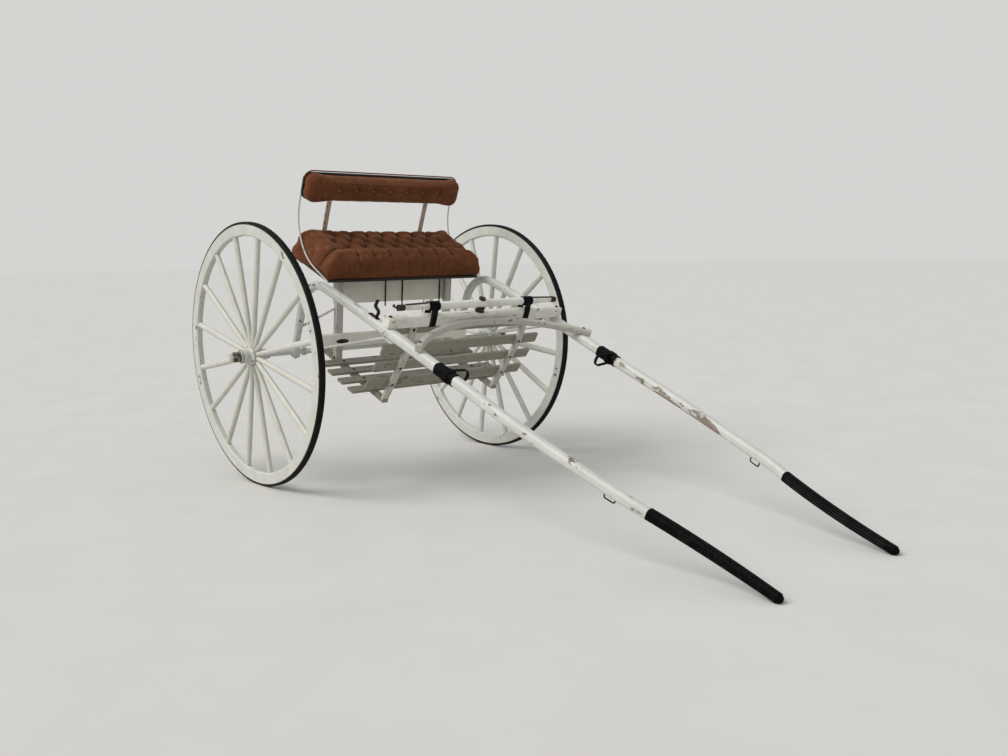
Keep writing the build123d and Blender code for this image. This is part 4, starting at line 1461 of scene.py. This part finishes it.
@dataclass
class FrontBars:
    """Bolts of the bow and crossbar, and the iron strips and stitched straps on the singletree."""

    bow_bolt: Point = (0.685, -0.058, 0.4325)
    bow_end: Point = (0.842, 0.468, 0.4465)
    bar_u: float = 0.634
    bar_end: Pair = (0.475, 0.4645)
    strip_w: float = 0.515
    strip_section: Pair = (0.012, 0.0025)
    strip_lift: float = 0.0006
    strip_ys: tuple[float, ...] = (0.30, 0.345, 0.39, 0.413)
    keeper_y: float = 0.267
    stitch_ahead: float = 0.027
    stitch_edge: float = 0.0125
    stitch_foot: float = 0.424
    stitch_pitch: float = 0.0062
    stitch_count: int = 11

    def build(self) -> None:
        """Make the bolts, strips and stitches."""
        signs = (1, -1)
        repeat("bow_bolts", bolt_form(), on("bow", both(*self.bow_bolt), AHEAD, 0.9), "bow")
        ends = on("bow", both(*self.bow_end), UP, 0.8) + on("crossbar", both(self.bar_u, *self.bar_end), UP)
        repeat("shaft_bolts", bolt_form(), ends, "rusty_iron")
        strips = Form()
        up = PARK.to_3x3() @ Vector(UP)
        for sign in signs:
            spots = on("singletree", [(self.bar_u, sign * y, self.strip_w) for y in self.strip_ys], UP)
            line = [Vector(spot.at) + self.strip_lift * up for spot in spots]
            strips.add(sweep(smooth(line, 5), strap(*self.strip_section), side=tuple(up)))
        make("tree_strips", strips, "rusty_iron")
        face = self.bar_u + self.stitch_ahead
        places = [(face, sign * self.keeper_y + edge, self.stitch_foot + self.stitch_pitch * i)
                  for sign in signs for edge in (-self.stitch_edge, self.stitch_edge)
                  for i in range(self.stitch_count)]
        stitches = on("keeper_straps", places, AHEAD, along=UP)
        repeat("keeper_stitches", stitch_form(), stitches, "stitch")


@dataclass
class FrameBolts:
    """Bolts and nuts of the slats, posts and clips, the plate on the cross board, and the hook's screws."""

    brace_foot: Pair = (0.5108, -0.003)
    lean: float = math.radians(17.5)
    frame_y: float = 0.320
    dash_first: float = 0.097
    dash_pitch: float = 0.101
    top_bolt: Pair = (0.603, 0.383)
    floor_first: float = 0.160
    floor_pitch: float = 0.087
    floor_w: float = 0.010
    post_foot: Pair = (0.103, 0.008)
    post_sides: Pair = (0.33, 0.31)
    clip_us: Pair = (-0.011, 0.011)
    clip_at: Pair = (0.488, -0.015)
    riser_at: Pair = (0.02, 0.36)
    riser_ys: Pair = (0.06, 0.19)
    hook_us: Pair = (0.504, 0.552)
    hook_at: Pair = (-0.4773, 0.424)
    plate_at: Point = (0.09, -0.314, 0.088)
    plate_out: Point = (0.958, 0, 0.286)
    plate_size: tuple[float, ...] = (0.0105, 0.034, 1.0, 1.0)
    plate_nut_lift: float = 0.003

    def slats(self) -> tuple[list[Spot], list[Spot]]:
        """Return the bolt heads and the nuts of the footrest's and the floor's slats.

        Returns:
            Heads, then nuts.
        """
        heads, nuts = [], []
        foot_u, foot_w = self.brace_foot
        for y in (self.frame_y, -self.frame_y):
            for i in range(4):
                s = self.dash_first + self.dash_pitch * i
                at, out = (foot_u + s * math.sin(self.lean), foot_w + s * math.cos(self.lean)), self.lean
                if i == 3:
                    at, out = self.top_bolt, 0.0
                axis = Vector((math.cos(out), 0, -math.sin(out)))
                heads += on("dash_braces", [(at[0], y, at[1])], axis, 0.8)
                nuts += on(f"dash_slat_{i + 1}", [(at[0], y, at[1])], -axis, 0.8)
                floor = (self.floor_first + self.floor_pitch * i, y, self.floor_w)
                heads += on(f"floor_slat_{i + 1}", [floor], UP, 0.8)
                nuts += on("floor_sills", [floor], DOWN, 0.8)
        return heads, nuts

    def build(self) -> None:
        """Make the bolts, nuts, plate and screws."""
        heads, nuts = self.slats()
        post_u, post_w = self.post_foot
        outer, inner = self.post_sides
        clip_y, clip_w = self.clip_at
        riser_u, riser_w = self.riser_at
        for sign in (1, -1):
            nuts += on("axle_clips", [(u, sign * clip_y, clip_w) for u in self.clip_us], DOWN, 0.75)
            heads += on("seat_posts", [(post_u, sign * outer, post_w)], (0, sign, 0), 0.8)
            nuts += on("seat_posts", [(post_u, sign * inner, post_w)], (0, -sign, 0), 0.8)
            heads += on("seat_riser", [(riser_u, sign * y, riser_w) for y in self.riser_ys], AHEAD, 0.6)
        repeat("frame_bolts", bolt_form(), heads, "rusty_iron")
        repeat("frame_nuts", nut_form(), nuts, "rusty_iron")
        crossings = on("cross_board", [self.plate_at], self.plate_out)
        plates = Form()
        oval = Matrix.Diagonal(self.plate_size)
        for spot in crossings:
            plates.add(lathe(OVAL_PLATE, 28), Matrix.Translation(spot.at) @ spot.matrix() @ oval)
        make("cross_plates", plates, "rusty_iron")
        bolts = [Spot(tuple(Vector(s.at) + self.plate_nut_lift * Vector(s.axis)), s.axis) for s in crossings]
        repeat("plate_bolts", nut_form(), bolts, "rusty_iron")
        screws = on("shaft_hook", [(u, *self.hook_at) for u in self.hook_us], UP)
        repeat("hook_screws", lathe(RIVET, 16), screws, "black_iron")


@dataclass
class Harness:
    """Stitched seams along the inner sides of the shafts' leather."""

    line: tuple[Point, ...] = ((2.080, 0.393, 0.4025), (2.200, 0.375, 0.4032), (2.300, 0.360, 0.4040),
                               (2.400, 0.355, 0.4065), (2.500, 0.351, 0.4095), (2.560, 0.349, 0.4110))
    inset: float = 0.006
    rows: Pair = (-0.0048, 0.0048)
    pitch: float = 0.0075
    ends: Pair = (0.006, 0.020)
    seam_section: Pair = (0.0014, 0.0030)

    def build(self) -> None:
        """Make the seams and their stitches."""
        path = smooth(self.line, 24)
        seams = Form()
        stitches = []
        for side, sign in SIGNS.items():
            node, inner = f"shaft_sleeve_{side}", (0, -sign, 0)
            spots = on(node, [(p[0], sign * (p[1] - self.inset), p[2]) for p in path[1:-2]], inner)
            seams.add(sweep([Vector(s.at) for s in spots], strap(*self.seam_section), side=inner))
            places = []
            at = path[0][0] + self.ends[0]
            while at < path[-1][0] - self.ends[1]:
                near = min(path, key=lambda p: abs(p[0] - at))
                places += [(at, sign * (near[1] - self.inset), near[2] + lift) for lift in self.rows]
                at += self.pitch
            stitches += on(node, places, inner, along=AHEAD)
        make("sleeve_seams", seams, "leather")
        repeat("sleeve_stitches", stitch_form(), stitches, "stitch")


@dataclass
class Studio:
    """Pale floor, soft light and the camera at the photograph's angle."""

    floor_half: float = 80.0

    def build(self) -> None:
        """Make the stage."""
        corners = [(-1, -1), (1, -1), (1, 1), (-1, 1)]
        form = Form([(self.floor_half * x, self.floor_half * y, 0.0) for x, y in corners], [(0, 1, 2, 3)])
        floor = place("floor", form.mesh("floor"))
        floor.data.materials.append(finish("floor"))
        world = bpy.data.worlds.new("soft_room")
        bpy.context.scene.world = world
        world.use_nodes = True
        g = Graph(world.node_tree)
        sky = g.add("ShaderNodeBackground", {"Color": (0.93, 0.96, 1.0, 1.0), "Strength": 0.55})
        backdrop = g.add("ShaderNodeBackground", {"Color": (0.66, 0.66, 0.645, 1.0), "Strength": 1.0})
        seen = g.add("ShaderNodeLightPath").outputs["Is Camera Ray"]
        both = g.add("ShaderNodeMixShader", {0: seen, 1: sky.outputs[0], 2: backdrop.outputs[0]})
        g.add("ShaderNodeOutputWorld", {"Surface": both.outputs[0]})
        self.sun("key", (-0.25, -0.80, 0.85), 2.35, 38.0, (1.0, 0.97, 0.92))
        self.sun("fill", (0.9, -0.2, 0.5), 0.15, 80.0, (0.95, 0.97, 1.0))
        self.camera()
        bpy.context.scene.view_settings.view_transform = "Standard"

    def sun(self, name: str, source: Point, strength: float, spread: float, colour: Colour) -> None:
        """Add one wide soft light that comes from the direction given.

        Args:
            name: the lamp's name.
            source: direction it comes from.
            strength: its strength.
            spread: its angle in degrees.
            colour: its colour.
        """
        lamp = bpy.data.lights.new(name, "SUN")
        lamp.energy = strength
        lamp.angle = math.radians(spread)
        lamp.color = colour
        place(name, lamp).rotation_euler = Vector(source).to_track_quat("Z", "Y").to_euler()

    def camera(self) -> None:
        """Add the camera and make it the scene's own."""
        data = bpy.data.cameras.new("camera")
        data.lens = LENS_MM
        data.sensor_width = 36.0
        data.sensor_fit = "HORIZONTAL"
        data.clip_end = 100.0
        obj = place("camera", data)
        axes = Matrix((CAMERA_RIGHT, CAMERA_UP, tuple(-c for c in CAMERA_FORWARD))).transposed()
        obj.matrix_world = Matrix.Translation(CAMERA_AT) @ axes.to_4x4()
        bpy.context.scene.camera = obj


def finish_of_node(name: str) -> str:
    """Return the finish of a CAD node, by the longest listed start of its name."""
    found = [(len(start), key) for key, starts in NODE_STARTS.items() for start in starts if name.startswith(start)]
    return max(found)[1]


def dress_nodes() -> None:
    """Give every CAD node its finish."""
    for name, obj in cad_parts.items():
        obj.data.materials.clear()
        obj.data.materials.append(finish(finish_of_node(name)))


def main() -> None:
    """Build the looks."""
    logging.basicConfig(level=logging.INFO, format="%(name)s %(message)s")
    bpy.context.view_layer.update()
    Studio().build()
    dress_nodes()
    for side in SIGNS:
        Wheel(side).build()
    FrontBars().build()
    FrameBolts().build()
    Harness().build()
    Seat().build()
    BackRest().build()


if __name__ == "__main__":
    main()
